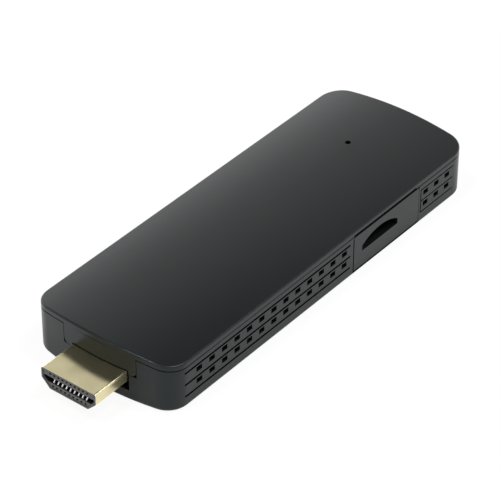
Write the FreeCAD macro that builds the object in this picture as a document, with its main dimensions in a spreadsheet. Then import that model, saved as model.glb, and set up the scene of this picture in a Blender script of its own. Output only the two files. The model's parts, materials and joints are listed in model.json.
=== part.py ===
import FreeCAD, Part
import Sketcher
import math
import os

Vector = FreeCAD.Vector

# Driving dimensions in millimetres. A station is measured along the case from the front of its
# bow, and a name that ends in rear is measured forwards from the tail.
SIZES = {
    # case
    "case_length": 100.8,
    "case_width": 36.0,
    "case_height": 12.6,
    "edge_height": 11.1,
    "skin": 1.3,
    "wall": 1.2,
    "floor_sheet": 1.2,
    "front_bow": 2.4,
    "rear_bow": 0.7,
    "corner_radius": 5.0,
    "bottom_round": 0.9,
    "top_round": 0.35,
    "fit_gap": 0.12,
    "seam_bevel": 0.15,
    # front tab of the cover
    "tab_width": 18.3,
    "tab_shift": 0.7,
    "tab_bottom": 6.5,
    "tab_corner": 1.2,
    "tab_sheet": 1.4,
    # cover tongues and their catches
    "tongue_length": 5.0,
    "tongue_drop": 1.8,
    "tongue_sheet": 0.9,
    "tongue_station": 12.0,
    "tongue_rear": 12.0,
    "tongue_gap": 3.6,
    "barb": 0.3,
    "barb_height": 0.7,
    # picture plug
    "plug_out": 8.9,
    "plug_depth": 7.4,
    "plug_width": 13.9,
    "plug_height": 4.45,
    "plug_middle": 5.1,
    "plug_shift": 0.95,
    "plug_side": 2.4,
    "plug_flat": 9.8,
    "plug_sheet": 0.35,
    "plug_round": 0.4,
    "mouth_gap": 0.25,
    "insulator_set": 0.15,
    "slot_width": 12.8,
    "slot_height": 1.4,
    "slot_slant": 0.8,
    "window_side": 0.45,
    "window_depth": 1.0,
    "window_pitch": 1.05,
    "upper_window_set": 0.75,
    "lower_window_set": 0.85,
    "upper_contacts": 10,
    "lower_contacts": 9,
    "contact_pitch": 1.0,
    "contact_width": 0.4,
    "contact_sheet": 0.2,
    "contact_back": 0.6,
    "contact_lap": 1.6,
    "contact_drop_set": 0.4,
    "saddle_width": 8.0,
    "saddle_length": 3.0,
    # main board
    "board_sheet": 1.0,
    "board_gap": 1.2,
    "board_front": 8.0,
    "board_nose": 3.0,
    "nose_width": 9.6,
    "board_end_gap": 1.2,
    "post_radius": 2.3,
    "pilot_radius": 0.65,
    "screw_hole_radius": 1.05,
    "screw_head_radius": 1.5,
    "screw_head_height": 0.9,
    "screw_reach": 1.9,
    "screw_station": 12.0,
    "screw_rear": 8.5,
    "screw_edge": 3.2,
    # vents in the long sides
    "vent_station": 9.9,
    "vent_margin": 1.5,
    "vent_pitch": 3.87,
    "vent_width": 1.7,
    "vent_tall": 1.15,
    "vent_low": 4.52,
    "vent_high": 7.36,
    "tail_vent_gap": 2.35,
    "tail_vent_count": 3,
    "groove_low": 2.8,
    "groove_mid": 5.65,
    "groove_high": 8.49,
    "groove_width": 0.3,
    "groove_depth": 0.3,
    "groove_station": 5.6,
    "groove_gap": 1.2,
    "tail_groove_gap": 0.8,
    "groove_rear": 6.0,
    # port panels
    "panel_length": 22.9,
    "panel_rear": 18.3,
    "panel_bottom": 0.6,
    "panel_top": 9.5,
    "panel_notch": 0.4,
    "panel_notch_rear": 1.2,
    "panel_flange": 1.0,
    "flange_sheet": 0.6,
    "card_mouth_inset": 2.9,
    "card_mouth_width": 12.35,
    "card_mouth_bottom": 4.7,
    "card_mouth_side": 1.3,
    "card_mouth_rise": 1.8,
    # memory card socket
    "card_width": 11.2,
    "card_depth": 13.0,
    "card_sheet": 1.0,
    "socket_base": 0.45,
    "socket_wall": 0.5,
    "socket_cover": 0.2,
    "slider_width": 1.5,
    "slider_length": 5.0,
    "slider_height": 0.9,
    "slider_foot": 1.2,
    "spring_radius": 0.4,
    "spring_length": 3.4,
    "slider_gap": 0.1,
    "socket_gap": 0.3,
    "card_contacts": 8,
    "card_contact_pitch": 1.1,
    "card_contact_length": 4.3,
    "card_contact_rear": 2.2,
    # power inlet
    "inlet_width": 7.5,
    "inlet_height": 2.6,
    "inlet_depth": 5.2,
    "inlet_sheet": 0.3,
    "inlet_contacts": 5,
    "inlet_pitch": 0.65,
    "inlet_gap": 0.35,
    "inlet_slant": 0.8,
    "inlet_tongue": 4.2,
    "tongue_plate": 0.6,
    "core_depth": 1.6,
    # accessory socket in the tail
    "usb_width": 13.1,
    "usb_height": 5.7,
    "usb_depth": 13.0,
    "usb_sheet": 0.3,
    "usb_sink": 1.6,
    "usb_tongue_width": 11.1,
    "usb_tongue_sheet": 1.8,
    "usb_back": 3.0,
    "usb_tongue_drop": 0.35,
    "usb_tongue_set": 1.0,
    "usb_contacts": 4,
    "usb_pitch": 2.4,
    "usb_contact_set": 1.0,
    "usb_ear": 1.5,
    "usb_ear_length": 3.0,
    "usb_ear_set": 2.0,
    # chips and the heat sink
    "chip_length": 14.0,
    "chip_width": 14.0,
    "chip_height": 1.1,
    "pad_sheet": 0.5,
    "sink_length": 34.0,
    "sink_width": 20.0,
    "sink_base": 1.2,
    "fin_height": 2.2,
    "fin_count": 8,
    "fin_sheet": 0.8,
    "memory_length": 7.5,
    "memory_width": 12.5,
    "memory_height": 1.0,
    "flash_length": 11.5,
    "flash_width": 13.0,
    "flash_height": 1.0,
    "power_length": 6.0,
    "power_width": 6.0,
    "power_height": 0.9,
    "surge_length": 1.0,
    "surge_width": 2.5,
    "surge_height": 0.5,
    "surge_count": 4,
    "surge_pitch": 3.0,
    # coils, capacitors and crystals
    "coil_length": 3.0,
    "coil_width": 3.0,
    "coil_height": 1.4,
    "coil_gap": 0.4,
    "coil_side": 6.0,
    "coil_count": 2,
    "coil_pitch": 5.0,
    "tantalum_length": 3.5,
    "tantalum_width": 2.8,
    "tantalum_height": 1.9,
    "tantalum_side": 2.5,
    "tantalum_count": 3,
    "tantalum_pitch": 5.0,
    "bypass_length": 1.0,
    "bypass_width": 0.5,
    "bypass_height": 0.5,
    "bypass_side": 8.8,
    "bypass_count": 6,
    "bypass_pitch": 2.6,
    "crystal_length": 3.2,
    "crystal_width": 2.5,
    "crystal_height": 0.8,
    "radio_crystal_rear": 20.8,
    # radio module and antenna
    "radio_width": 11.4,
    "radio_height": 0.8,
    "radio_gap": 0.4,
    "radio_chip_length": 6.0,
    "radio_chip_width": 6.0,
    "radio_chip_height": 0.8,
    "can_height": 1.4,
    "can_sheet": 0.2,
    "can_margin": 0.3,
    "antenna_length": 2.0,
    "antenna_height": 1.2,
    "antenna_gap": 0.7,
    "antenna_rear": 5.0,
    # reset switch
    "pin_hole_rear": 17.9,
    "pin_hole_side": 1.2,
    "pin_hole_radius": 0.65,
    "switch_side": 3.6,
    "switch_height": 1.7,
    "plunger_radius": 0.85,
    "plunger_out": 0.6,
    "plunger_travel": 0.25,
    "plunger_gap": 0.05,
    "switch_floor": 0.4,
    # how far a cutting shape runs past what it cuts
    "overcut": 1.0,
}

# How far a corner between a level and a 45 degree edge moves for each unit of inset.
CORNER_SHIFT = math.tan(math.pi / 8)

doc = FreeCAD.newDocument("streaming_stick")
sheet = doc.addObject("Spreadsheet::Sheet", "Sizes")
nodes = []


def fill_sheet():
    """Writes each driving dimension into the sheet under its alias."""
    for row, (alias, size) in enumerate(SIZES.items(), start=1):
        sheet.set(f"A{row}", alias)
        sheet.set(f"B{row}", str(size))
        sheet.setAlias(f"B{row}", alias)
    doc.recompute()


def cell(alias):
    return f"Sizes.{alias}"


def number(expression):
    """The value of an expression, for the first draft of a sketch and for counts."""
    result = sheet.evalExpression(str(expression))
    return float(getattr(result, "Value", result))


def share(*terms):
    """Joins terms into one expression in brackets."""
    return "(" + " ".join(str(term) for term in terms) + ")"


fill_sheet()

# Places that several pieces share, each as an expression of the driving dimensions.
FRONT = "((Sizes.plug_out - Sizes.case_length) / 2)"
TAIL = f"({FRONT} + Sizes.case_length)"
HALF_WIDTH = "(Sizes.case_width / 2)"
SEAM_SIDE = "(Sizes.edge_height - Sizes.skin)"
SEAM_TOP = "(Sizes.case_height - Sizes.skin)"
CROWN = "(Sizes.case_height - Sizes.edge_height)"
SLOT_LOW = "(Sizes.plug_middle - Sizes.slot_height / 2)"
SLOT_TOP = "(Sizes.plug_middle + Sizes.slot_height / 2)"
BOARD_TOP = SLOT_LOW
BOARD_LOW = f"({BOARD_TOP} - Sizes.board_sheet)"
PLUG_TOP = "(Sizes.plug_middle + Sizes.plug_height / 2)"
PLUG_LOW = "(Sizes.plug_middle - Sizes.plug_height / 2)"
PLUG_CENTRE = "(-Sizes.plug_shift)"
TAB_CENTRE = "(-Sizes.tab_shift)"
INNER_SIDE = "(Sizes.case_width / 2 - Sizes.wall)"
BOARD_START = f"({FRONT} + Sizes.board_front)"
BOARD_END = f"({TAIL} - Sizes.wall - Sizes.rear_bow - Sizes.board_end_gap)"
BOARD_HALF = f"({INNER_SIDE} - Sizes.flange_sheet - Sizes.board_gap)"
PANEL_END = f"({TAIL} - Sizes.panel_rear)"
PANEL_START = f"({PANEL_END} - Sizes.panel_length)"
PANEL_MIDDLE = f"({PANEL_END} - Sizes.panel_length / 2)"
USB_START = f"({TAIL} - Sizes.fit_gap - Sizes.usb_depth)"
PIN_HOLE = (f"({TAIL} - Sizes.pin_hole_rear)", "Sizes.pin_hole_side")
OVERCUT = "Sizes.overcut"
LONG = "(Sizes.case_length * 2)"

# The memory card socket lies across the board, its mouth behind the half-moon opening.
CARD_LEFT = (f"({PANEL_START} + Sizes.card_mouth_inset"
             " + (Sizes.card_mouth_width - Sizes.card_width) / 2)")
CARD_RIGHT = f"({CARD_LEFT} + Sizes.card_width)"
CHANNEL_RIGHT = f"({CARD_RIGHT} + Sizes.slider_width + 2 * Sizes.slider_gap)"
SOCKET_LEFT = f"({CARD_LEFT} - Sizes.socket_wall)"
SOCKET_RIGHT = f"({CHANNEL_RIGHT} + Sizes.socket_wall)"
SOCKET_MOUTH = f"(Sizes.flange_sheet + Sizes.socket_gap - {INNER_SIDE})"
SOCKET_BACK = f"({SOCKET_MOUTH} + Sizes.card_depth)"
SOCKET_FLOOR = f"({BOARD_TOP} + Sizes.socket_base)"
SOCKET_TOP = f"({SOCKET_FLOOR} + Sizes.card_sheet + Sizes.slider_gap)"
SPRING_START = f"({SOCKET_BACK} - Sizes.spring_length)"
SLIDER_START = f"({SPRING_START} - Sizes.slider_length)"


def station(alias):
    """X of a station that is measured from the front of the case."""
    return f"({FRONT} + Sizes.{alias})"


def from_tail(alias):
    """X of a place that is measured forwards from the tail."""
    return f"({TAIL} - Sizes.{alias})"


def new_body(name):
    return doc.addObject("PartDesign::Body", name + "_body")


def origin_plane(body, role):
    return [item for item in body.Origin.OriginFeatures if item.Role == role][0]


def new_sketch(body, role, name, offset=None):
    """A sketch on one of the body's own origin planes, moved along its normal by offset."""
    sketch = body.newObject("Sketcher::SketchObject", name)
    sketch.AttachmentSupport = (origin_plane(body, role), [""])
    sketch.MapMode = "FlatFace"
    if offset is not None:
        sketch.setExpression("AttachmentOffset.Base.z", offset)
    return sketch


def bind(sketch, kind, first, where, expression):
    """A distance from the sketch origin to a point, tied to an expression."""
    row = sketch.addConstraint(Sketcher.Constraint(kind, -1, 1, first, where, number(expression)))
    sketch.setExpression(f"Constraints[{row}]", expression)


def bind_radius(sketch, arc, expression):
    row = sketch.addConstraint(Sketcher.Constraint("Radius", arc, number(expression)))
    sketch.setExpression(f"Constraints[{row}]", expression)


def chain(sketch, edges):
    """Adds edges end to end and closes them."""
    rows = sketch.addGeometry(edges, False)
    for place, row in enumerate(rows):
        following = rows[(place + 1) % len(rows)]
        sketch.addConstraint(Sketcher.Constraint("Coincident", row, 2, following, 1))
    return rows


def polygon(sketch, corners):
    """A closed polygon whose corners are pairs of expressions."""
    places = [Vector(number(across), number(up), 0) for across, up in corners]
    edges = [
        Part.LineSegment(place, places[(turn + 1) % len(places)])
        for turn, place in enumerate(places)
    ]
    rows = chain(sketch, edges)
    for row, (across, up) in zip(rows, corners):
        bind(sketch, "DistanceX", row, 1, across)
        bind(sketch, "DistanceY", row, 1, up)
    return rows


def rectangle(sketch, left, right, low, high):
    return polygon(sketch, [(left, low), (right, low), (right, high), (left, high)])


def circle(sketch, across, up, radius):
    row = sketch.addGeometry(
        Part.Circle(Vector(number(across), number(up), 0), Vector(0, 0, 1), number(radius)), False
    )
    bind(sketch, "DistanceX", row, 3, across)
    bind(sketch, "DistanceY", row, 3, up)
    bind_radius(sketch, row, radius)
    return row


def extrude(body, kind, name, sketch, length, reverse=False, middle=False):
    """A pad or a pocket of a sketch."""
    feature = body.newObject("PartDesign::" + kind, name)
    feature.Profile = sketch
    feature.setExpression("Length", length)
    feature.Reversed = reverse
    if middle:
        feature.SideType = "Symmetric"
    doc.recompute()
    return feature


def cut(body, name, sketch, length, reverse=False, middle=False):
    """A pocket that has to take material away."""
    before = body.Shape.Volume
    feature = extrude(body, "Pocket", name, sketch, length, reverse, middle)
    if body.Shape.Volume >= before - 1e-6:
        raise RuntimeError(name + " takes nothing away")
    return feature


def repeat(body, name, feature, role, count, pitch):
    """A row of copies of one feature along an axis of the body."""
    pattern = body.newObject("PartDesign::LinearPattern", name)
    pattern.Originals = [feature]
    pattern.Direction = (origin_plane(body, role), [""])
    pattern.Mode = "Spacing"
    pattern.setExpression("Offset", pitch)
    pattern.setExpression("Occurrences", count)
    body.Tip = pattern
    doc.recompute()
    return pattern


def edges_where(shape, test):
    return [f"Edge{place}" for place, edge in enumerate(shape.Edges, start=1) if test(edge)]


def dress(body, kind, name, edges, size_name, size):
    """A fillet or chamfer on edges of the body's last feature."""
    base = body.Tip
    feature = body.newObject("PartDesign::" + kind, name)
    feature.Base = (base, edges)
    feature.setExpression(size_name, size)
    doc.recompute()
    return feature


def bow_radius(width, bow):
    """Radius of the arc that rises by bow over width."""
    return f"((({width}) / 2)^2 + ({bow})^2) / (2 * ({bow}))"


def arc_between(centre, radius, start, end):
    """An arc from one angle to another, both in radians, about a point in the sketch."""
    ring = Part.Circle(Vector(*centre, 0), Vector(0, 0, 1), radius)
    return Part.ArcOfCircle(ring, start, end)


def case_outline(body, name, height, inset):
    """The plan of the case, bowed at both ends, its corners round, drawn in by inset."""
    sketch = new_sketch(body, "XY_Plane", name, height)
    width = share("Sizes.case_width - 2 *", inset)
    corner = share("Sizes.corner_radius -", inset)
    front_radius = share(bow_radius("Sizes.case_width", "Sizes.front_bow"), "-", inset)
    rear_radius = share(bow_radius("Sizes.case_width", "Sizes.rear_bow"), "-", inset)
    front_centre = share(FRONT, "+", inset, "+", front_radius)
    rear_centre = share(TAIL, "-", inset, "-", rear_radius)
    small = number(corner)
    side = number(width) / 2 - small
    front_turn = math.asin(side / (number(front_radius) - small))
    rear_turn = math.asin(side / (number(rear_radius) - small))
    front_corner = number(front_centre) - side / math.tan(front_turn)
    rear_corner = number(rear_centre) + side / math.tan(rear_turn)
    half = number(width) / 2
    rows = sketch.addGeometry([
        arc_between((number(front_centre), 0), number(front_radius), math.pi - front_turn,
                    math.pi + front_turn),
        arc_between((front_corner, -side), small, math.pi + front_turn, 1.5 * math.pi),
        Part.LineSegment(Vector(front_corner, -half, 0), Vector(rear_corner, -half, 0)),
        arc_between((rear_corner, -side), small, -math.pi / 2, -rear_turn),
        arc_between((number(rear_centre), 0), number(rear_radius), -rear_turn, rear_turn),
        arc_between((rear_corner, side), small, rear_turn, math.pi / 2),
        Part.LineSegment(Vector(rear_corner, half, 0), Vector(front_corner, half, 0)),
        arc_between((front_corner, side), small, math.pi / 2, math.pi - front_turn),
    ], False)
    for place, row in enumerate(rows):
        following = rows[(place + 1) % len(rows)]
        sketch.addConstraint(Sketcher.Constraint("Tangent", row, 2, following, 1))
    for row, centre, radius in ((rows[0], front_centre, front_radius),
                                (rows[4], rear_centre, rear_radius)):
        bind(sketch, "DistanceX", row, 3, centre)
        sketch.addConstraint(Sketcher.Constraint("PointOnObject", row, 3, -1))
        bind_radius(sketch, row, radius)
    for row in (rows[1], rows[3], rows[5], rows[7]):
        bind_radius(sketch, row, corner)
    bind(sketch, "DistanceY", rows[2], 1, share("-", width, "/ 2"))
    bind(sketch, "DistanceY", rows[6], 1, share(width, "/ 2"))
    for row in (rows[2], rows[6]):
        sketch.addConstraint(Sketcher.Constraint("Horizontal", row))
    return sketch


def crown_sketch(body, name, drop, above):
    """The region above or below the crowned top of the case, lowered by drop."""
    sketch = new_sketch(body, "YZ_Plane", name)
    radius = bow_radius("Sizes.case_width", CROWN)
    reach = share(HALF_WIDTH, "+ 1")
    centre = share("Sizes.case_height -", drop, "-", share(radius))
    spread = math.asin(number(reach) / number(radius))
    arc = Part.ArcOfCircle(
        Part.Circle(Vector(0, number(centre), 0), Vector(0, 0, 1), number(radius)),
        math.pi / 2 - spread,
        math.pi / 2 + spread,
    )
    limit = share("Sizes.case_height + 1") if above else "-1"
    left = Vector(-number(reach), number(limit), 0)
    right = Vector(number(reach), number(limit), 0)
    edges = [
        arc,
        Part.LineSegment(arc.EndPoint, left),
        Part.LineSegment(left, right),
        Part.LineSegment(right, arc.StartPoint),
    ]
    rows = chain(sketch, edges)
    sketch.addConstraint(Sketcher.Constraint("PointOnObject", rows[0], 3, -2))
    bind(sketch, "DistanceY", rows[0], 3, centre)
    bind_radius(sketch, rows[0], share(radius))
    bind(sketch, "DistanceX", rows[0], 1, reach)
    bind(sketch, "DistanceX", rows[0], 2, share("-", reach))
    sketch.addConstraint(Sketcher.Constraint("Vertical", rows[1]))
    sketch.addConstraint(Sketcher.Constraint("Vertical", rows[3]))
    sketch.addConstraint(Sketcher.Constraint("Horizontal", rows[2]))
    bind(sketch, "DistanceY", rows[2], 1, limit)
    return sketch


def keep(name, feature):
    """Names a finished sub-part."""
    feature.Label = name
    nodes.append(feature)
    return feature


def box(name, length, width, height, place):
    """A block whose low corner is at place; every argument is an expression."""
    block = doc.addObject("Part::Box", name)
    for size, expression in (("Length", length), ("Width", width), ("Height", height)):
        block.setExpression(size, str(expression))
    for axis, expression in zip("xyz", place):
        block.setExpression(f"Placement.Base.{axis}", str(expression))
    return block


def centred_box(name, sizes, middle, low):
    """A block centred on middle in plan, standing at height low."""
    length, width, height = sizes
    across, along = middle
    place = (share(across, "-", length, "/ 2"), share(along, "-", width, "/ 2"), low)
    return box(name, length, width, height, place)


def upright_cylinder(name, radius, height, place):
    rod = doc.addObject("Part::Cylinder", name)
    rod.setExpression("Radius", str(radius))
    rod.setExpression("Height", str(height))
    for axis, expression in zip("xyz", place):
        rod.setExpression(f"Placement.Base.{axis}", str(expression))
    return rod


def group(name, pieces):
    """Several separate solids in one node."""
    compound = doc.addObject("Part::Compound", name + "_group")
    compound.Links = pieces
    return keep(name, compound)


def subtract(name, base, tool):
    result = doc.addObject("Part::Cut", name)
    result.Base = base
    result.Tool = tool
    return result


def join(name, pieces):
    result = doc.addObject("Part::MultiFuse", name)
    result.Shapes = pieces
    result.Refine = True
    return result


def screw_places():
    for across in (station("screw_station"), from_tail("screw_rear")):
        for sign in ("-", ""):
            yield across, f"({sign}({BOARD_HALF} - Sizes.screw_edge))"


def on_parting_line(edge):
    """Whether an edge of a solid block lies on the crowned parting line."""
    radius = number(bow_radius("Sizes.case_width", CROWN))
    centre = number(share("Sizes.case_height - Sizes.skin")) - radius
    return all(abs(point.Z - centre - math.sqrt(radius ** 2 - point.Y ** 2)) < 1e-3
               for point in edge.Vertexes)


def housing_shell(body):
    """The open tray, with its walls cut to the crowned parting line."""
    outline = case_outline(body, "housing_outline", "0", "0")
    extrude(body, "Pad", "housing_block", outline, cell("case_height"))
    cut(body, "housing_parting", crown_sketch(body, "parting_line", cell("skin"), True), LONG,
        middle=True)
    dress(body, "Chamfer", "housing_seam_bevel", edges_where(body.Shape, on_parting_line),
          "Size", cell("seam_bevel"))
    inner = case_outline(body, "housing_inside", cell("case_height"), cell("wall"))
    cut(body, "housing_cavity", inner, share("Sizes.case_height - Sizes.floor_sheet"))

    def on_floor_rim(edge):
        middle = edge.valueAt((edge.FirstParameter + edge.LastParameter) / 2)
        return abs(edge.BoundBox.ZMax) < 1e-4 and abs(middle.z) < 1e-4

    dress(body, "Fillet", "bottom_edge", edges_where(body.Shape, on_floor_rim), "Radius",
          cell("bottom_round"))


def housing_posts(body):
    """Posts that carry the board, the plug saddle and the screw pilots."""
    posts = new_sketch(body, "XY_Plane", "post_sketch", cell("floor_sheet"))
    for across, along in screw_places():
        circle(posts, across, along, cell("post_radius"))
    height = share(BOARD_LOW, "- Sizes.floor_sheet")
    extrude(body, "Pad", "board_posts", posts, height)
    pilots = new_sketch(body, "XY_Plane", "pilot_sketch", BOARD_LOW)
    for across, along in screw_places():
        circle(pilots, across, along, cell("pilot_radius"))
    cut(body, "screw_pilots", pilots, share(height, "+ Sizes.floor_sheet / 2"))
    saddle = new_sketch(body, "XY_Plane", "saddle_sketch", cell("floor_sheet"))
    start = share(FRONT, "+ Sizes.wall")
    rectangle(saddle, start, share(start, "+ Sizes.saddle_length"),
              share(PLUG_CENTRE, "- Sizes.saddle_width / 2"),
              share(PLUG_CENTRE, "+ Sizes.saddle_width / 2"))
    extrude(body, "Pad", "plug_saddle", saddle, share(PLUG_LOW, "- Sizes.floor_sheet"))


def housing_mouths(body):
    """The cut-outs in the two ends for the cover's tab, the plug and the accessory socket."""
    depth = share("Sizes.front_bow + Sizes.wall +", OVERCUT)
    ahead = share(FRONT, "-", OVERCUT)
    plug = new_sketch(body, "YZ_Plane", "plug_mouth_sketch", ahead)
    half = share("Sizes.plug_width / 2 + Sizes.mouth_gap")
    rectangle(plug, share(PLUG_CENTRE, "-", half), share(PLUG_CENTRE, "+", half),
              share(PLUG_LOW, "- Sizes.mouth_gap"), cell("case_height"))
    cut(body, "plug_mouth", plug, depth, reverse=True)
    tab = new_sketch(body, "YZ_Plane", "tab_mouth_sketch", ahead)
    half = share("Sizes.tab_width / 2 + Sizes.fit_gap")
    rectangle(tab, share(TAB_CENTRE, "-", half), share(TAB_CENTRE, "+", half),
              share("Sizes.tab_bottom - Sizes.fit_gap"), cell("case_height"))
    cut(body, "tab_mouth", tab, depth, reverse=True)
    socket = new_sketch(body, "YZ_Plane", "usb_mouth_sketch", share(TAIL, "+", OVERCUT))
    half = share("Sizes.usb_width / 2 + Sizes.inlet_gap")
    low = share(BOARD_TOP, "- Sizes.usb_sink - Sizes.inlet_gap")
    rectangle(socket, share("-", half), half, low,
              share(low, "+ Sizes.usb_height + 2 * Sizes.inlet_gap"))
    cut(body, "usb_mouth", socket, share("Sizes.wall + Sizes.rear_bow +", OVERCUT))


def housing_vents(body):
    """Two rows of slots through both long sides, ahead of the panels and behind them."""
    front = station("vent_station")
    room = share(PANEL_START, "-", front, "- Sizes.vent_width / 2 - Sizes.vent_margin")
    front_count = share("floor(", room, "/ Sizes.vent_pitch) + 1")
    tail = share(PANEL_END, "+ Sizes.tail_vent_gap")
    for name, start, count in (("front_vent", front, front_count),
                               ("tail_vent", tail, cell("tail_vent_count"))):
        sketch = new_sketch(body, "XZ_Plane", name + "_sketch")
        for row in ("vent_low", "vent_high"):
            rectangle(
                sketch,
                share(start, "- Sizes.vent_width / 2"),
                share(start, "+ Sizes.vent_width / 2"),
                share(f"Sizes.{row} - Sizes.vent_tall / 2"),
                share(f"Sizes.{row} + Sizes.vent_tall / 2"),
            )
        column = cut(body, name, sketch, share("Sizes.case_width * 2"), middle=True)
        repeat(body, name + "_row", column, "X_Axis", count, cell("vent_pitch"))


def housing_grooves(body):
    """Shallow lines above, between and below the rows of slots, on both long sides."""
    half = "Sizes.groove_width / 2"
    tail_start = share(PANEL_END, "+ Sizes.tail_groove_gap")
    lines = ((station("groove_station"), share(PANEL_START, "- Sizes.groove_gap")),
             (tail_start, from_tail("groove_rear")))
    for side, sign in (("near", ""), ("far", "-")):
        place = f"({sign}{HALF_WIDTH})"
        sketch = new_sketch(body, "XZ_Plane", side + "_groove_sketch", place)
        for start, end in lines:
            for level in ("groove_low", "groove_mid", "groove_high"):
                rectangle(sketch, start, end, share(f"Sizes.{level} -", half),
                          share(f"Sizes.{level} +", half))
        cut(body, side + "_grooves", sketch, cell("groove_depth"), reverse=sign == "-")
        stops = new_sketch(body, "XZ_Plane", side + "_stop_sketch", place)
        rectangle(stops, share(tail_start, "- Sizes.groove_width"), tail_start,
                  share("Sizes.groove_low -", half), share("Sizes.groove_high +", half))
        cut(body, side + "_groove_stop", stops, cell("groove_depth"), reverse=sign == "-")


def housing_windows(body):
    """The openings in both long sides that the port panels fill, open at the top."""
    sketch = new_sketch(body, "XZ_Plane", "window_sketch")
    rectangle(sketch, PANEL_START, PANEL_END, cell("panel_bottom"), cell("case_height"))
    cut(body, "panel_windows", sketch, share("Sizes.case_width * 2"), middle=True)


def tongue_places():
    """Where the snap tongues start: behind the front, ahead of the panels and near the tail."""
    return (station("tongue_station"),
            share(PANEL_START, "- Sizes.tongue_gap - Sizes.tongue_length"),
            from_tail("tongue_rear"))


def housing_catches(body):
    """Pockets inside the long walls for the barbs of the cover's tongues."""
    for side, sign in (("near", "-"), ("far", "")):
        sketch = new_sketch(body, "XZ_Plane", side + "_catch_sketch", f"(-({sign}{INNER_SIDE}))")
        top = share(SEAM_SIDE, "- Sizes.tongue_drop + Sizes.barb_height + Sizes.fit_gap")
        for tongue in tongue_places():
            start = share(tongue, "- Sizes.fit_gap")
            rectangle(sketch, start, share(start, "+ Sizes.tongue_length + 2 * Sizes.fit_gap"),
                      share(SEAM_SIDE, "- Sizes.tongue_drop - Sizes.fit_gap"), top)
        cut(body, side + "_catches", sketch, share("Sizes.barb + Sizes.fit_gap"),
            reverse=side == "near")


def make_lower_housing():
    body = new_body("lower_housing")
    housing_shell(body)
    housing_posts(body)
    housing_mouths(body)
    housing_vents(body)
    housing_grooves(body)
    housing_windows(body)
    housing_catches(body)
    keep("lower_housing", body)


def cover_tab(body):
    """The tab that closes the front above the plug, bowed like the case."""
    sketch = new_sketch(body, "XY_Plane", "tab_plan", cell("tab_bottom"))
    outer = share(bow_radius("Sizes.case_width", "Sizes.front_bow"))
    inner = share(outer, "- Sizes.tab_sheet")
    centre = share(FRONT, "+", outer)
    far_side = share(TAB_CENTRE, "+ Sizes.tab_width / 2")
    near_side = share(TAB_CENTRE, "- Sizes.tab_width / 2")
    arcs = []
    for radius in (outer, inner):
        start, end = (math.asin(number(side) / number(radius)) for side in (far_side, near_side))
        ring = Part.Circle(Vector(number(centre), 0, 0), Vector(0, 0, 1), number(radius))
        arcs.append(Part.ArcOfCircle(ring, math.pi - start, math.pi - end))
    front, back = arcs
    rows = sketch.addGeometry([
        front,
        Part.LineSegment(front.EndPoint, back.EndPoint),
        back,
        Part.LineSegment(back.StartPoint, front.StartPoint),
    ], False)
    for first, first_end, second, second_end in ((0, 2, 1, 1), (1, 2, 2, 2), (2, 1, 3, 1),
                                                 (3, 2, 0, 1)):
        sketch.addConstraint(Sketcher.Constraint("Coincident", rows[first], first_end,
                                                 rows[second], second_end))
    for row, radius in ((rows[0], outer), (rows[2], inner)):
        sketch.addConstraint(Sketcher.Constraint("PointOnObject", row, 3, -1))
        bind(sketch, "DistanceX", row, 3, centre)
        bind_radius(sketch, row, radius)
        bind(sketch, "DistanceY", row, 1, far_side)
        bind(sketch, "DistanceY", row, 2, near_side)
    extrude(body, "Pad", "front_tab", sketch, share(SEAM_TOP, "- Sizes.tab_bottom"))

    def at_tab_corner(edge):
        box = edge.BoundBox
        low = number(cell("tab_bottom"))
        return box.ZLength < 1e-4 and abs(box.ZMax - low) < 1e-4 and box.YLength < 1e-4

    dress(body, "Fillet", "tab_corners", edges_where(body.Shape, at_tab_corner), "Radius",
          cell("tab_corner"))
    notch = new_sketch(body, "YZ_Plane", "tab_notch_sketch", share(FRONT, "-", OVERCUT))
    half = share("Sizes.plug_width / 2 + Sizes.fit_gap")
    rectangle(notch, share(PLUG_CENTRE, "-", half), share(PLUG_CENTRE, "+", half),
              share("Sizes.tab_bottom -", OVERCUT), share(PLUG_TOP, "+ Sizes.fit_gap"))
    cut(body, "tab_notch", notch, share("Sizes.front_bow + Sizes.tab_sheet +", OVERCUT),
        reverse=True)


def cover_tongues(body):
    """Snap tongues with outward barbs, hanging inside the long walls."""
    low = share(SEAM_SIDE, "- Sizes.tongue_drop")
    barb_top = share(low, "+ Sizes.barb_height")
    root = share(SEAM_SIDE, "+ Sizes.skin / 2")
    for turn, start in enumerate(tongue_places(), start=1):
        sketch = new_sketch(body, "YZ_Plane", f"tongue_sketch_{turn}", start)
        for sign in ("-", ""):
            outer = f"({sign}({INNER_SIDE} - Sizes.fit_gap))"
            inner = f"({sign}({INNER_SIDE} - Sizes.fit_gap - Sizes.tongue_sheet))"
            tip = f"({sign}({INNER_SIDE} - Sizes.fit_gap + Sizes.barb))"
            polygon(sketch, [
                (inner, low),
                (outer, low),
                (tip, share(low, "+ Sizes.barb_height / 2")),
                (tip, barb_top),
                (outer, barb_top),
                (outer, root),
                (inner, root),
            ])
        extrude(body, "Pad", f"tongues_{turn}", sketch, cell("tongue_length"))


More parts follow.
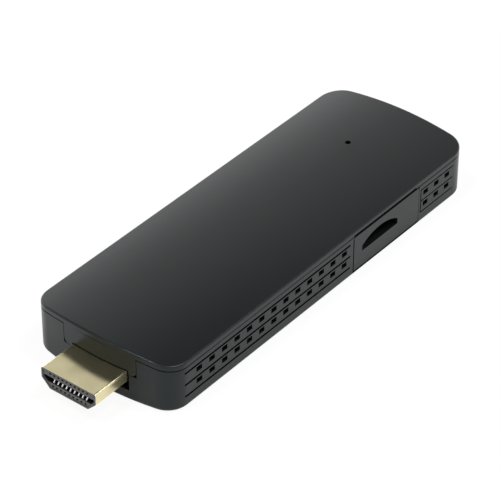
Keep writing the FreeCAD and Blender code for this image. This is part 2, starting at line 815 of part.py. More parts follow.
def make_top_cover():
    body = new_body("top_cover")
    outline = case_outline(body, "cover_outline", SEAM_SIDE, "0")
    extrude(body, "Pad", "cover_block", outline, share("Sizes.case_height -", SEAM_SIDE))
    cut(body, "cover_crown", crown_sketch(body, "crown_line", "0", True), LONG, middle=True)
    cut(body, "cover_parting", crown_sketch(body, "cover_parting_line", cell("skin"), False),
        LONG, middle=True)
    crease = number(cell("edge_height")) - 1e-3
    dress(body, "Fillet", "crease_round",
          edges_where(body.Shape, lambda edge: edge.BoundBox.ZMin > crease), "Radius",
          cell("top_round"))
    dress(body, "Chamfer", "cover_seam_bevel", edges_where(body.Shape, on_parting_line),
          "Size", cell("seam_bevel"))
    notch = new_sketch(body, "XZ_Plane", "panel_notch_sketch")
    rectangle(notch, PANEL_START, share(PANEL_END, "- Sizes.panel_notch_rear"),
              share(SEAM_SIDE, "-", OVERCUT), share(SEAM_SIDE, "+ Sizes.panel_notch"))
    cut(body, "panel_notches", notch, share("Sizes.case_width * 2"), middle=True)
    cover_tab(body)
    cover_tongues(body)
    pin_hole = new_sketch(body, "XY_Plane", "pin_hole_sketch", cell("case_height"))
    circle(pin_hole, *PIN_HOLE, cell("pin_hole_radius"))
    cut(body, "pin_hole", pin_hole, share("Sizes.skin * 2"))
    keep("top_cover", body)


def panel_plate(name, sign):
    """A plate that fills a side window, with a flange behind the wall; sign is the side in Y."""
    body = new_body(name)
    outward = sign == "-"
    face = new_sketch(body, "XZ_Plane", name + "_face",
                      HALF_WIDTH if outward else f"(-{HALF_WIDTH})")
    rectangle(face, share(PANEL_START, "+ Sizes.fit_gap"), share(PANEL_END, "- Sizes.fit_gap"),
              share("Sizes.panel_bottom + Sizes.fit_gap"), cell("panel_top"))
    extrude(body, "Pad", name + "_plate", face, cell("wall"), reverse=outward)
    flange = new_sketch(body, "XZ_Plane", name + "_flange_sketch",
                        INNER_SIDE if outward else f"(-{INNER_SIDE})")
    rectangle(flange, share(PANEL_START, "- Sizes.panel_flange"),
              share(PANEL_END, "+ Sizes.panel_flange"), cell("floor_sheet"), cell("panel_top"))
    extrude(body, "Pad", name + "_flange", flange, cell("flange_sheet"), reverse=outward)
    return body


def card_mouth(body):
    """The half-moon opening: a slot for the card with a finger recess above it."""
    sketch = new_sketch(body, "XZ_Plane", "card_mouth_sketch", share(HALF_WIDTH, "+", OVERCUT))
    left = share(PANEL_START, "+ Sizes.card_mouth_inset")
    right = share(left, "+ Sizes.card_mouth_width")
    low = cell("card_mouth_bottom")
    shoulder = share("Sizes.card_mouth_bottom + Sizes.card_mouth_side")
    radius = share(bow_radius("Sizes.card_mouth_width", "Sizes.card_mouth_rise"))
    middle = share(left, "+ Sizes.card_mouth_width / 2")
    centre = share(shoulder, "+ Sizes.card_mouth_rise -", radius)
    spread = math.asin(number(cell("card_mouth_width")) / 2 / number(radius))
    arc = Part.ArcOfCircle(
        Part.Circle(Vector(number(middle), number(centre), 0), Vector(0, 0, 1), number(radius)),
        math.pi / 2 - spread,
        math.pi / 2 + spread,
    )
    corner_left = Vector(number(left), number(low), 0)
    corner_right = Vector(number(right), number(low), 0)
    rows = chain(sketch, [
        arc,
        Part.LineSegment(arc.EndPoint, corner_left),
        Part.LineSegment(corner_left, corner_right),
        Part.LineSegment(corner_right, arc.StartPoint),
    ])
    bind(sketch, "DistanceX", rows[0], 3, middle)
    bind(sketch, "DistanceY", rows[0], 3, centre)
    bind_radius(sketch, rows[0], radius)
    bind(sketch, "DistanceX", rows[2], 1, left)
    bind(sketch, "DistanceX", rows[2], 2, right)
    bind(sketch, "DistanceY", rows[2], 1, low)
    sketch.addConstraint(Sketcher.Constraint("Horizontal", rows[2]))
    sketch.addConstraint(Sketcher.Constraint("Vertical", rows[1]))
    sketch.addConstraint(Sketcher.Constraint("Vertical", rows[3]))
    cut(body, "card_mouth", sketch, share("Sizes.wall + Sizes.flange_sheet + 2 *", OVERCUT))


def make_port_panels():
    card_panel = panel_plate("card_panel", "-")
    card_mouth(card_panel)
    keep("card_panel", card_panel)
    power_panel = panel_plate("power_panel", "")
    sketch = new_sketch(power_panel, "XZ_Plane", "inlet_mouth_sketch",
                        f"(-({HALF_WIDTH} + {OVERCUT}))")
    half = share("Sizes.inlet_width / 2 + Sizes.inlet_gap")
    rectangle(sketch, share(PANEL_MIDDLE, "-", half), share(PANEL_MIDDLE, "+", half),
              share(BOARD_TOP, "- Sizes.inlet_gap"),
              share(BOARD_TOP, "+ Sizes.inlet_height + Sizes.inlet_gap"))
    cut(power_panel, "inlet_mouth", sketch,
        share("Sizes.wall + Sizes.flange_sheet + 2 *", OVERCUT), reverse=True)
    keep("power_panel", power_panel)


def plug_profile(body, name, offset, inset):
    """The plug's section: square shoulders above, slanted corners below."""
    sketch = new_sketch(body, "YZ_Plane", name, offset)
    shift = share(inset, "*", CORNER_SHIFT)
    wide = share("Sizes.plug_width / 2 -", inset)
    narrow = share("Sizes.plug_flat / 2 -", shift)
    top = share(PLUG_TOP, "-", inset)
    side = share(PLUG_TOP, "- Sizes.plug_side +", shift)
    low = share(PLUG_LOW, "+", inset)
    polygon(sketch, [
        (share(PLUG_CENTRE, "-", wide), top),
        (share(PLUG_CENTRE, "-", wide), side),
        (share(PLUG_CENTRE, "-", narrow), low),
        (share(PLUG_CENTRE, "+", narrow), low),
        (share(PLUG_CENTRE, "+", wide), side),
        (share(PLUG_CENTRE, "+", wide), top),
    ])
    return sketch


def insulator_slot(body, start):
    """The slot for the receptacle's tongue, its lower corners slanted like the shell's."""
    sketch = new_sketch(body, "YZ_Plane", "insulator_slot", start)
    wide = share("Sizes.slot_width / 2")
    narrow = share(wide, "- Sizes.slot_slant")
    bend = share(SLOT_LOW, "+ Sizes.slot_slant")
    polygon(sketch, [
        (share(PLUG_CENTRE, "-", wide), SLOT_TOP),
        (share(PLUG_CENTRE, "-", wide), bend),
        (share(PLUG_CENTRE, "-", narrow), SLOT_LOW),
        (share(PLUG_CENTRE, "+", narrow), SLOT_LOW),
        (share(PLUG_CENTRE, "+", wide), bend),
        (share(PLUG_CENTRE, "+", wide), SLOT_TOP),
    ])
    cut(body, "plug_slot", sketch, share("Sizes.plug_out + Sizes.plug_depth"), reverse=True)


def contact_windows(body, start):
    """A row of small square windows in the face, above the slot and below it."""
    levels = (("upper", share(PLUG_TOP, "- Sizes.upper_window_set")),
              ("lower", share(PLUG_LOW, "+ Sizes.lower_window_set")))
    half = share("Sizes.window_side / 2")
    for row, level in levels:
        count = cell(row + "_contacts")
        sketch = new_sketch(body, "YZ_Plane", row + "_window_sketch", start)
        first = share(PLUG_CENTRE, "- (", count, "- 1) * Sizes.window_pitch / 2")
        rectangle(sketch, share(first, "-", half), share(first, "+", half),
                  share(level, "-", half), share(level, "+", half))
        window = cut(body, row + "_window", sketch, cell("window_depth"), reverse=True)
        repeat(body, row + "_windows", window, "Y_Axis", count, cell("window_pitch"))


def make_plug():
    start = share(FRONT, "- Sizes.plug_out")
    shell = new_body("plug_shell")
    outer = plug_profile(shell, "shell_outer", start, "0")
    length = share("Sizes.plug_out + Sizes.plug_depth")
    extrude(shell, "Pad", "shell_block", outer, length)

    def runs_along(edge):
        box = edge.BoundBox
        return box.YLength < 1e-4 and box.ZLength < 1e-4

    dress(shell, "Fillet", "shell_round", edges_where(shell.Shape, runs_along), "Radius",
          cell("plug_round"))
    inner = plug_profile(shell, "shell_inner", start, cell("plug_sheet"))
    cut(shell, "shell_bore", inner, share(length, "+", OVERCUT), reverse=True)
    keep("plug_shell", shell)

    insulator = new_body("plug_insulator")
    inset_start = share(start, "+ Sizes.insulator_set")
    core = plug_profile(insulator, "insulator_outer", inset_start, cell("plug_sheet"))
    nose = share(BOARD_START, "- Sizes.board_nose")
    extrude(insulator, "Pad", "insulator_block", core, share(nose, "-", inset_start))
    insulator_slot(insulator, inset_start)
    contact_windows(insulator, inset_start)
    keep("plug_insulator", insulator)
    plug_contacts(share(inset_start, "+ Sizes.contact_back"), nose)


def plug_contacts(first, nose):
    """A straight row on the slot's floor, and a row under its roof that steps down to the board."""
    sheet_size = cell("contact_sheet")
    width = cell("contact_width")
    end = share(nose, "+ Sizes.contact_lap")
    lower, upper = ([share(PLUG_CENTRE, "+", shift) for shift in row_shifts(name, "contact_pitch")]
                    for name in ("lower_contacts", "upper_contacts"))
    group("lower_contacts", strips_across(
        "lower_contact", lower, (share(end, "-", first), width, sheet_size), first, SLOT_LOW))
    drop = share(nose, "+ Sizes.contact_drop_set")
    runs = (
        strips_across("upper_run", upper, (share(drop, "-", first), width, sheet_size), first,
                      share(SLOT_TOP, "-", sheet_size)),
        strips_across("upper_drop", upper, (sheet_size, width, cell("slot_height")), drop,
                      SLOT_LOW),
        strips_across("upper_foot", upper, (share(end, "-", drop), width, sheet_size), drop,
                      SLOT_LOW),
    )
    group("upper_contacts", [join(f"upper_contact_{turn}", pieces)
                             for turn, pieces in enumerate(zip(*runs), start=1)])


def row_shifts(count, pitch):
    """Places in a row about zero; count and pitch are names of driving dimensions."""
    total = round(number(cell(count)))
    return [share(turn, "*", cell(pitch), "- (", total, "- 1) *", cell(pitch), "/ 2")
            for turn in range(total)]


def strips_across(name, shifts, sizes, low_end, low):
    """Equal strips that run along the case, side by side in Y."""
    length, width, height = sizes
    return [box(f"{name}_{turn}", length, width, height,
                (low_end, share(shift, "-", width, "/ 2"), low))
            for turn, shift in enumerate(shifts, start=1)]


def strips_along(name, shifts, sizes, middle, low_end, low):
    """Equal strips that run across the case, side by side in X about middle."""
    length, width, height = sizes
    return [box(f"{name}_{turn}", length, width, height,
                (share(middle, "+", shift, "-", length, "/ 2"), low_end, low))
            for turn, shift in enumerate(shifts, start=1)]


def make_main_board():
    body = new_body("main_board")
    near_nose = share(PLUG_CENTRE, "- Sizes.nose_width / 2")
    far_nose = share(PLUG_CENTRE, "+ Sizes.nose_width / 2")
    notch = share("Sizes.usb_width / 2 + Sizes.fit_gap")
    notch_start = share(TAIL, "- Sizes.usb_depth - Sizes.insulator_set")
    tip = share(BOARD_START, "- Sizes.board_nose")
    sketch = new_sketch(body, "XY_Plane", "board_outline", BOARD_LOW)
    polygon(sketch, [
        (tip, near_nose),
        (BOARD_START, near_nose),
        (BOARD_START, share("-", BOARD_HALF)),
        (BOARD_END, share("-", BOARD_HALF)),
        (BOARD_END, share("-", notch)),
        (notch_start, share("-", notch)),
        (notch_start, notch),
        (BOARD_END, notch),
        (BOARD_END, BOARD_HALF),
        (BOARD_START, BOARD_HALF),
        (BOARD_START, far_nose),
        (tip, far_nose),
    ])
    extrude(body, "Pad", "board_sheet", sketch, cell("board_sheet"))
    holes = new_sketch(body, "XY_Plane", "board_holes", BOARD_TOP)
    for across, along in screw_places():
        circle(holes, across, along, cell("screw_hole_radius"))
    cut(body, "screw_holes", holes, share("Sizes.board_sheet * 2"))
    keep("main_board", body)


def make_screws():
    screws = []
    for place, (across, along) in enumerate(screw_places(), start=1):
        head = upright_cylinder(f"head_{place}", cell("screw_head_radius"),
                                cell("screw_head_height"), (across, along, BOARD_TOP))
        low = share(BOARD_LOW, "- Sizes.screw_reach")
        shank = upright_cylinder(f"shank_{place}", cell("pilot_radius"),
                                 share(BOARD_TOP, "-", low), (across, along, low))
        screws.append(join(f"screw_{place}", [head, shank]))
    group("board_screws", screws)


def chip_middles():
    """X of the chips that stand in a row with equal gaps, from the front screws to the socket."""
    kinds = ("surge", "memory", "chip", "flash")
    start = share(station("screw_station"), "+ Sizes.screw_head_radius")
    end = share(SOCKET_LEFT, "- Sizes.socket_cover")
    lengths = " - ".join(cell(kind + "_length") for kind in kinds)
    gap = share("(", end, "-", start, "-", lengths, ") /", len(kinds) + 1)
    middles = {}
    for kind in kinds:
        middles[kind] = share(start, "+", gap, f"+ Sizes.{kind}_length / 2")
        start = share(start, "+", gap, f"+ Sizes.{kind}_length")
    return middles


def board_block(name, kind, middle, low=BOARD_TOP):
    """A block of one kind of part, centred on middle in plan."""
    sizes = tuple(cell(f"{kind}_{size}") for size in ("length", "width", "height"))
    return centred_box(name, sizes, middle, low)


def board_group(name, kind, middles):
    """Equal blocks of one kind on the board, in one node."""
    group(name, [board_block(f"{name}_{turn}", kind, middle)
                 for turn, middle in enumerate(middles, start=1)])


def make_chips(middles):
    middle = (middles["chip"], "0")
    keep("system_chip", board_block("system_chip", "chip", middle))
    chip_top = share(BOARD_TOP, "+ Sizes.chip_height")
    pad = (cell("chip_length"), cell("chip_width"), cell("pad_sheet"))
    keep("thermal_pad", centred_box("thermal_pad", pad, middle, chip_top))

    sink = new_body("heat_sink")
    low = share(chip_top, "+ Sizes.pad_sheet")
    base = new_sketch(sink, "XY_Plane", "sink_plan", low)
    left = share(middles["chip"], "- Sizes.sink_length / 2")
    right = share(middles["chip"], "+ Sizes.sink_length / 2")
    side = share("Sizes.sink_width / 2")
    rectangle(base, left, right, share("-", side), side)
    extrude(sink, "Pad", "sink_base", base, cell("sink_base"))
    fin = new_sketch(sink, "XY_Plane", "fin_plan", share(low, "+ Sizes.sink_base"))
    rectangle(fin, left, right, share("-", side), share("-", side, "+ Sizes.fin_sheet"))
    first = extrude(sink, "Pad", "first_fin", fin, cell("fin_height"))
    pitch = share("(Sizes.sink_width - Sizes.fin_sheet) / (Sizes.fin_count - 1)")
    repeat(sink, "fin_row", first, "Y_Axis", cell("fin_count"), pitch)
    keep("heat_sink", sink)


def make_small_parts(middles):
    half = share(BOARD_HALF, "/ 2")
    board_group("memory_chips", "memory",
                [(middles["memory"], share("-", half)), (middles["memory"], half)])
    keep("flash_chip", board_block("flash_chip", "flash", (middles["flash"], share("-", half))))
    power = share(middles["flash"], "- Sizes.flash_length / 2 + Sizes.power_length / 2")
    keep("power_chip", board_block("power_chip", "power", (power, half)))
    board_group("crystals", "crystal", [
        (share(power, "+ Sizes.power_length / 2 + Sizes.crystal_length"),
         share(BOARD_HALF, "- Sizes.crystal_width")),
        (from_tail("radio_crystal_rear"), share(BOARD_HALF, "- 2 * Sizes.crystal_width")),
    ])
    coil = share(SOCKET_LEFT, "- Sizes.socket_cover - Sizes.coil_gap - Sizes.coil_length / 2")
    board_group("inductors", "coil", [(coil, share("Sizes.coil_side +", shift))
                                      for shift in row_shifts("coil_count", "coil_pitch")])
    board_group("tantalum_capacitors", "tantalum",
                [(share(PANEL_MIDDLE, "+", shift), cell("tantalum_side"))
                 for shift in row_shifts("tantalum_count", "tantalum_pitch")])
    board_group("surge_arrays", "surge",
                [(middles["surge"], shift)
                 for shift in row_shifts("surge_count", "surge_pitch")])
    board_group("bypass_capacitors", "bypass",
                [(share(middles["chip"], "+", shift), f"({sign}Sizes.bypass_side)")
                 for sign in ("-", "")
                 for shift in row_shifts("bypass_count", "bypass_pitch")])
    socket_half = "Sizes.usb_width / 2"
    antenna = (cell("antenna_length"),
               share(BOARD_HALF, "-", socket_half, "- 2 * Sizes.antenna_gap"),
               cell("antenna_height"))
    keep("antenna", centred_box(
        "antenna", antenna,
        (from_tail("antenna_rear"), share("(", BOARD_HALF, "+", socket_half, ") / 2")),
        BOARD_TOP))


def make_radio():
    """The radio module, which fills the board between the card socket and the tail socket."""
    front = share(SOCKET_RIGHT, "+ Sizes.socket_cover")
    length = share(USB_START, "-", front, "- 2 * Sizes.radio_gap")
    width = cell("radio_width")
    middle = (share("(", front, "+", USB_START, ") / 2"),
              share("Sizes.radio_gap +", width, "/ 2 -", BOARD_HALF))
    keep("radio_board", centred_box("radio_board", (length, width, cell("radio_height")),
                                    middle, BOARD_TOP))
    top = share(BOARD_TOP, "+ Sizes.radio_height")
    keep("radio_chip", board_block("radio_chip", "radio_chip", middle, top))
    outer = centred_box("can_outer", (share(length, "- 2 * Sizes.can_margin"),
                                      share(width, "- 2 * Sizes.can_margin"),
                                      cell("can_height")), middle, top)
    inner = centred_box("can_inner", (share(length, "- 2 * Sizes.can_margin - 2 * Sizes.can_sheet"),
                                      share(width, "- 2 * Sizes.can_margin - 2 * Sizes.can_sheet"),
                                      share("Sizes.can_height - Sizes.can_sheet")), middle, top)
    keep("radio_can", subtract("radio_can", outer, inner))


def make_card_socket():
    body = new_body("card_socket")
    outline = new_sketch(body, "XY_Plane", "socket_plan", BOARD_TOP)
    rectangle(outline, SOCKET_LEFT, SOCKET_RIGHT, SOCKET_MOUTH,
              share(SOCKET_BACK, "+ Sizes.socket_wall"))
    extrude(body, "Pad", "socket_block", outline, share(SOCKET_TOP, "-", BOARD_TOP))
    cavity = new_sketch(body, "XY_Plane", "socket_cavity", SOCKET_TOP)
    channel_start = share(SLIDER_START, "- Sizes.slider_gap")
    polygon(cavity, [
        (CARD_LEFT, share(SOCKET_MOUTH, "-", OVERCUT)),
        (CARD_RIGHT, share(SOCKET_MOUTH, "-", OVERCUT)),
        (CARD_RIGHT, channel_start),
        (CHANNEL_RIGHT, channel_start),
        (CHANNEL_RIGHT, SOCKET_BACK),
        (CARD_LEFT, SOCKET_BACK),
    ])
    cut(body, "card_space", cavity, share(SOCKET_TOP, "-", SOCKET_FLOOR))
    keep("card_socket", body)

    sheet_size = cell("socket_cover")
    length = share(SOCKET_RIGHT, "-", SOCKET_LEFT)
    width = share(SOCKET_BACK, "+ Sizes.socket_wall -", SOCKET_MOUTH)
    height = share(SOCKET_TOP, "-", BOARD_TOP)
    outer = box("socket_cover_outer", share(length, "+ 2 *", sheet_size), width,
                share(height, "+", sheet_size),
                (share(SOCKET_LEFT, "-", sheet_size), SOCKET_MOUTH, BOARD_TOP))
    inner = box("socket_cover_inner", length, width, height,
                (SOCKET_LEFT, SOCKET_MOUTH, BOARD_TOP))
    keep("card_socket_cover", subtract("card_socket_cover", outer, inner))

    middle = share("(", CARD_LEFT, "+", CARD_RIGHT, ") / 2")
    length = cell("card_contact_length")
    group("card_contacts", strips_along(
        "card_contact", row_shifts("card_contacts", "card_contact_pitch"),
        (cell("contact_width"), length, cell("contact_sheet")),
        middle, share(SOCKET_BACK, "- Sizes.card_contact_rear -", length), SOCKET_FLOOR))


def make_card_slider():
    """The carriage that the card's edge pushes, and the spring behind it."""
    left = share(CARD_RIGHT, "+ Sizes.slider_gap")
    low = share(SOCKET_FLOOR, "+ Sizes.slider_gap / 2")
    bar = box("slider_bar", cell("slider_width"), cell("slider_length"), cell("slider_height"),
              (left, SLIDER_START, low))
    foot_length = share("Sizes.slider_foot + Sizes.slider_gap")
    foot_low = share(SPRING_START, "- Sizes.slider_foot")
    foot = box("slider_foot", foot_length, cell("slider_foot"), cell("slider_height"),
               (share(left, "-", foot_length), foot_low, low))
    keep("card_slider", join("card_slider", [bar, foot]))

    spring = doc.addObject("Part::Cylinder", "card_spring")
    spring.setExpression("Radius", cell("spring_radius"))
    spring.setExpression("Height", cell("spring_length"))
    spring.Placement.Rotation = FreeCAD.Rotation(Vector(1, 0, 0), -90)
    places = (share(left, "+ Sizes.slider_width / 2"), SPRING_START,
              share(low, "+ Sizes.slider_height / 2"))
    for axis, expression in zip("xyz", places):
        spring.setExpression(f"Placement.Base.{axis}", expression)
    keep("card_spring", spring)


def make_power_inlet():
    """The small socket for power in the far long side."""
    middle = PANEL_MIDDLE
    half = share("Sizes.inlet_width / 2")
    outer_face = share(HALF_WIDTH, "- Sizes.fit_gap")
    start = share(outer_face, "- Sizes.inlet_depth")
    rise = share("Sizes.inlet_height - Sizes.inlet_slant")

    def profile(body, name, offset, inset):
        sketch = new_sketch(body, "XZ_Plane", name, offset)
        shift = share(inset, "*", CORNER_SHIFT)
        wide = share(half, "-", inset)
        narrow = share(half, "- Sizes.inlet_slant -", shift)
        polygon(sketch, [
            (share(middle, "-", narrow), share(BOARD_TOP, "+", inset)),
            (share(middle, "+", narrow), share(BOARD_TOP, "+", inset)),
            (share(middle, "+", wide), share(BOARD_TOP, "+ Sizes.inlet_slant +", shift)),
            (share(middle, "+", wide), share(BOARD_TOP, "+ Sizes.inlet_height -", inset)),
            (share(middle, "-", wide), share(BOARD_TOP, "+ Sizes.inlet_height -", inset)),
            (share(middle, "-", wide), share(BOARD_TOP, "+ Sizes.inlet_slant +", shift)),
        ])
        return sketch

    shell = new_body("inlet_shell")
    outer = profile(shell, "inlet_outer", share("-", start), "0")
    extrude(shell, "Pad", "inlet_block", outer, cell("inlet_depth"), reverse=True)
    inner = profile(shell, "inlet_inner", share("-", start, "+", OVERCUT), cell("inlet_sheet"))
    cut(shell, "inlet_bore", inner, share("Sizes.inlet_depth + 2 *", OVERCUT))
    keep("inlet_shell", shell)

    core = new_body("inlet_core")
    block = profile(core, "core_outline", share("-", start), cell("inlet_sheet"))
    extrude(core, "Pad", "core_block", block, cell("core_depth"), reverse=True)
    tongue_low = share(BOARD_TOP, "+ Sizes.inlet_height / 2")
    tongue_start = share(start, "+ Sizes.core_depth")
    tongue = new_sketch(core, "XZ_Plane", "tongue_outline", share("-", tongue_start))
    tongue_half = share("Sizes.inlet_tongue / 2")
    rectangle(tongue, share(middle, "-", tongue_half), share(middle, "+", tongue_half),
              tongue_low, share(tongue_low, "+ Sizes.tongue_plate"))
    tongue_length = share("Sizes.inlet_depth - Sizes.core_depth - Sizes.inlet_gap")
    extrude(core, "Pad", "inlet_tongue", tongue, tongue_length, reverse=True)
    keep("inlet_core", core)

    group("inlet_contacts", strips_along(
        "inlet_contact", row_shifts("inlet_contacts", "inlet_pitch"),
        ("Sizes.inlet_pitch / 2", share(tongue_length, "- Sizes.inlet_gap"),
         "Sizes.contact_sheet / 2"),
        middle, tongue_start, share(tongue_low, "- Sizes.contact_sheet / 2")))


def make_usb_socket():
    """The accessory socket in the tail, sunk into the board."""
    low = share(BOARD_TOP, "- Sizes.usb_sink")
    half = share("Sizes.usb_width / 2")
    sheet_size = cell("usb_sheet")

    shell = new_body("usb_shell")
    outer = new_sketch(shell, "YZ_Plane", "usb_outer", USB_START)
    rectangle(outer, share("-", half), half, low, share(low, "+ Sizes.usb_height"))
    extrude(shell, "Pad", "usb_block", outer, cell("usb_depth"))
    ears = new_sketch(shell, "YZ_Plane", "usb_ear_sketch", share(USB_START, "+ Sizes.usb_ear_set"))
    ear_tip = share("Sizes.usb_width / 2 + Sizes.usb_ear")
    for side, end in ((share("-", ear_tip), share("-", half)), (half, ear_tip)):
        rectangle(ears, side, end, BOARD_TOP, share(BOARD_TOP, "+", sheet_size))
    extrude(shell, "Pad", "usb_ears", ears, cell("usb_ear_length"))
    bore = new_sketch(shell, "YZ_Plane", "usb_inner", share(USB_START, "-", OVERCUT))
    inner_half = share(half, "-", sheet_size)
    inner_low = share(low, "+", sheet_size)
    inner_top = share(low, "+ Sizes.usb_height -", sheet_size)
    rectangle(bore, share("-", inner_half), inner_half, inner_low, inner_top)
    cut(shell, "usb_bore", bore, share("Sizes.usb_depth + 2 *", OVERCUT), reverse=True)
    keep("usb_shell", shell)

    core = new_body("usb_core")
    block = new_sketch(core, "YZ_Plane", "usb_core_outline", USB_START)
    rectangle(block, share("-", inner_half), inner_half, inner_low, inner_top)
    extrude(core, "Pad", "usb_core_block", block, cell("usb_back"))
    tongue_start = share(USB_START, "+ Sizes.usb_back")
    tongue_top = share(inner_top, "- Sizes.usb_tongue_drop")
    tongue_low = share(tongue_top, "- Sizes.usb_tongue_sheet")
    tongue_half = share("Sizes.usb_tongue_width / 2")
    tongue = new_sketch(core, "YZ_Plane", "usb_tongue_outline", tongue_start)
    rectangle(tongue, share("-", tongue_half), tongue_half, tongue_low, tongue_top)
    tongue_length = share("Sizes.usb_depth - Sizes.usb_back - Sizes.usb_tongue_set")
    extrude(core, "Pad", "usb_tongue", tongue, tongue_length)
    keep("usb_core", core)

    sizes = (share(tongue_length, "- Sizes.usb_contact_set"), "Sizes.usb_pitch / 2",
             cell("contact_sheet"))
    group("usb_contacts", strips_across(
        "usb_contact", row_shifts("usb_contacts", "usb_pitch"), sizes,
        tongue_start, share(tongue_low, "- Sizes.contact_sheet")))


def make_reset_switch():
    """A push switch under the pin hole."""
    side = cell("switch_side")
    block = centred_box("switch_block", (side, side, cell("switch_height")), PIN_HOLE, BOARD_TOP)
    low = share(BOARD_TOP, "+ Sizes.switch_floor")
    well = upright_cylinder("switch_well", share("Sizes.plunger_radius + Sizes.plunger_gap"),
                            cell("switch_height"), (*PIN_HOLE, low))
    keep("switch_body", subtract("switch_body", block, well))
    start = share(low, "+ Sizes.plunger_travel + Sizes.plunger_gap")
    height = share(BOARD_TOP, "+ Sizes.switch_height + Sizes.plunger_out -", start)
    keep("reset_plunger", upright_cylinder("reset_plunger", cell("plunger_radius"), height,
                                           (*PIN_HOLE, start)))


def broken_objects():
    """Objects that failed to build, and sub-parts without a sound solid."""
    faults = [item.Name for item in doc.Objects if {"Invalid", "Error"} & set(item.State)]
    for node in nodes:
        shape = node.Shape
        if shape.isNull() or not shape.isValid() or not shape.Solids:
            faults.append(node.Label)
    return faults


def write_parts():
    os.makedirs("parts", exist_ok=True)
    for node in nodes:
        node.Shape.exportStep(os.path.join("parts", node.Label + ".step"))
        bounds = node.Shape.BoundBox
        print(f"{node.Label}: {len(node.Shape.Solids)} solids, {node.Shape.Volume:.1f} mm3, "
              f"x {bounds.XMin:.2f} to {bounds.XMax:.2f}, y {bounds.YMin:.2f} to "
              f"{bounds.YMax:.2f}, z {bounds.ZMin:.2f} to {bounds.ZMax:.2f}")


make_lower_housing()
make_top_cover()
make_port_panels()
make_plug()
make_main_board()
make_screws()
middles = chip_middles()
make_chips(middles)
make_small_parts(middles)
make_radio()
make_card_socket()
make_card_slider()
make_power_inlet()
make_usb_socket()
make_reset_switch()
doc.recompute()
faults = broken_objects()
if faults:
    raise RuntimeError("failed: " + ", ".join(faults))
write_parts()
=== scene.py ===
import bpy
import json
import math
from mathutils import Matrix, Vector


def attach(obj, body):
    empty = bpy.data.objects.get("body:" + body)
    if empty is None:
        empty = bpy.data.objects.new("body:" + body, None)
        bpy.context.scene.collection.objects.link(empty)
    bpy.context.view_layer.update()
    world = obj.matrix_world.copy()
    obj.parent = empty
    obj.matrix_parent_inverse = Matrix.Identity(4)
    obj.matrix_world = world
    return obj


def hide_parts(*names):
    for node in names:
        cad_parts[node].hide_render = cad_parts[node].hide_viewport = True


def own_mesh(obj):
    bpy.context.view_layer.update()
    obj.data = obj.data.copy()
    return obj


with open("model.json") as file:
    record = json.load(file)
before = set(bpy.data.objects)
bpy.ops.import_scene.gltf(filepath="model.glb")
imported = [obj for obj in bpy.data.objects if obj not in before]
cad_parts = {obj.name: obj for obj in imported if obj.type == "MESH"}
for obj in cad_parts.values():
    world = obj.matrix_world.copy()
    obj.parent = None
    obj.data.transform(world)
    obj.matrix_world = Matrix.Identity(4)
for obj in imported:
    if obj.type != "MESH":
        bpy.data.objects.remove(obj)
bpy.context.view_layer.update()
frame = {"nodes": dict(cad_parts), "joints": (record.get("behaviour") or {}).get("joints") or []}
mm = 0.001
perMetre = 1000.0  # millimetres
nodes = frame["nodes"]
print("frame loaded:", len(nodes), "nodes")


# shader maths: sums and products of values add their own Math nodes

class Value:
    def __init__(self, tree, socket):
        self.tree = tree
        self.socket = socket

    def join(self, operation, first, second=0.0, clamp=False):
        mathNode = self.tree.nodes.new("ShaderNodeMath")
        mathNode.operation = operation
        mathNode.use_clamp = clamp
        for place, item in enumerate((first, second)):
            if isinstance(item, Value):
                self.tree.links.new(item.socket, mathNode.inputs[place])
            else:
                mathNode.inputs[place].default_value = item
        return Value(self.tree, mathNode.outputs[0])

    def __add__(self, other):
        return self.join("ADD", self, other)

    def __radd__(self, other):
        return self.join("ADD", other, self)

    def __sub__(self, other):
        return self.join("SUBTRACT", self, other)

    def __rsub__(self, other):
        return self.join("SUBTRACT", other, self)

    def __mul__(self, other):
        return self.join("MULTIPLY", self, other)

    def __rmul__(self, other):
        return self.join("MULTIPLY", other, self)

    def __truediv__(self, other):
        return self.join("DIVIDE", self, other)

    def __gt__(self, other):
        return self.join("GREATER_THAN", self, other)

    def __lt__(self, other):
        return self.join("LESS_THAN", self, other)

    def wrap(self, length):  # repeats every length, from 0 to length
        return self.join("FLOORED_MODULO", self, length)

    def distance(self, other):
        return self.join("ABSOLUTE", self - other)

    def root(self):
        return self.join("SQRT", self)

    def clamped(self):
        return self.join("ADD", self, 0.0, clamp=True)


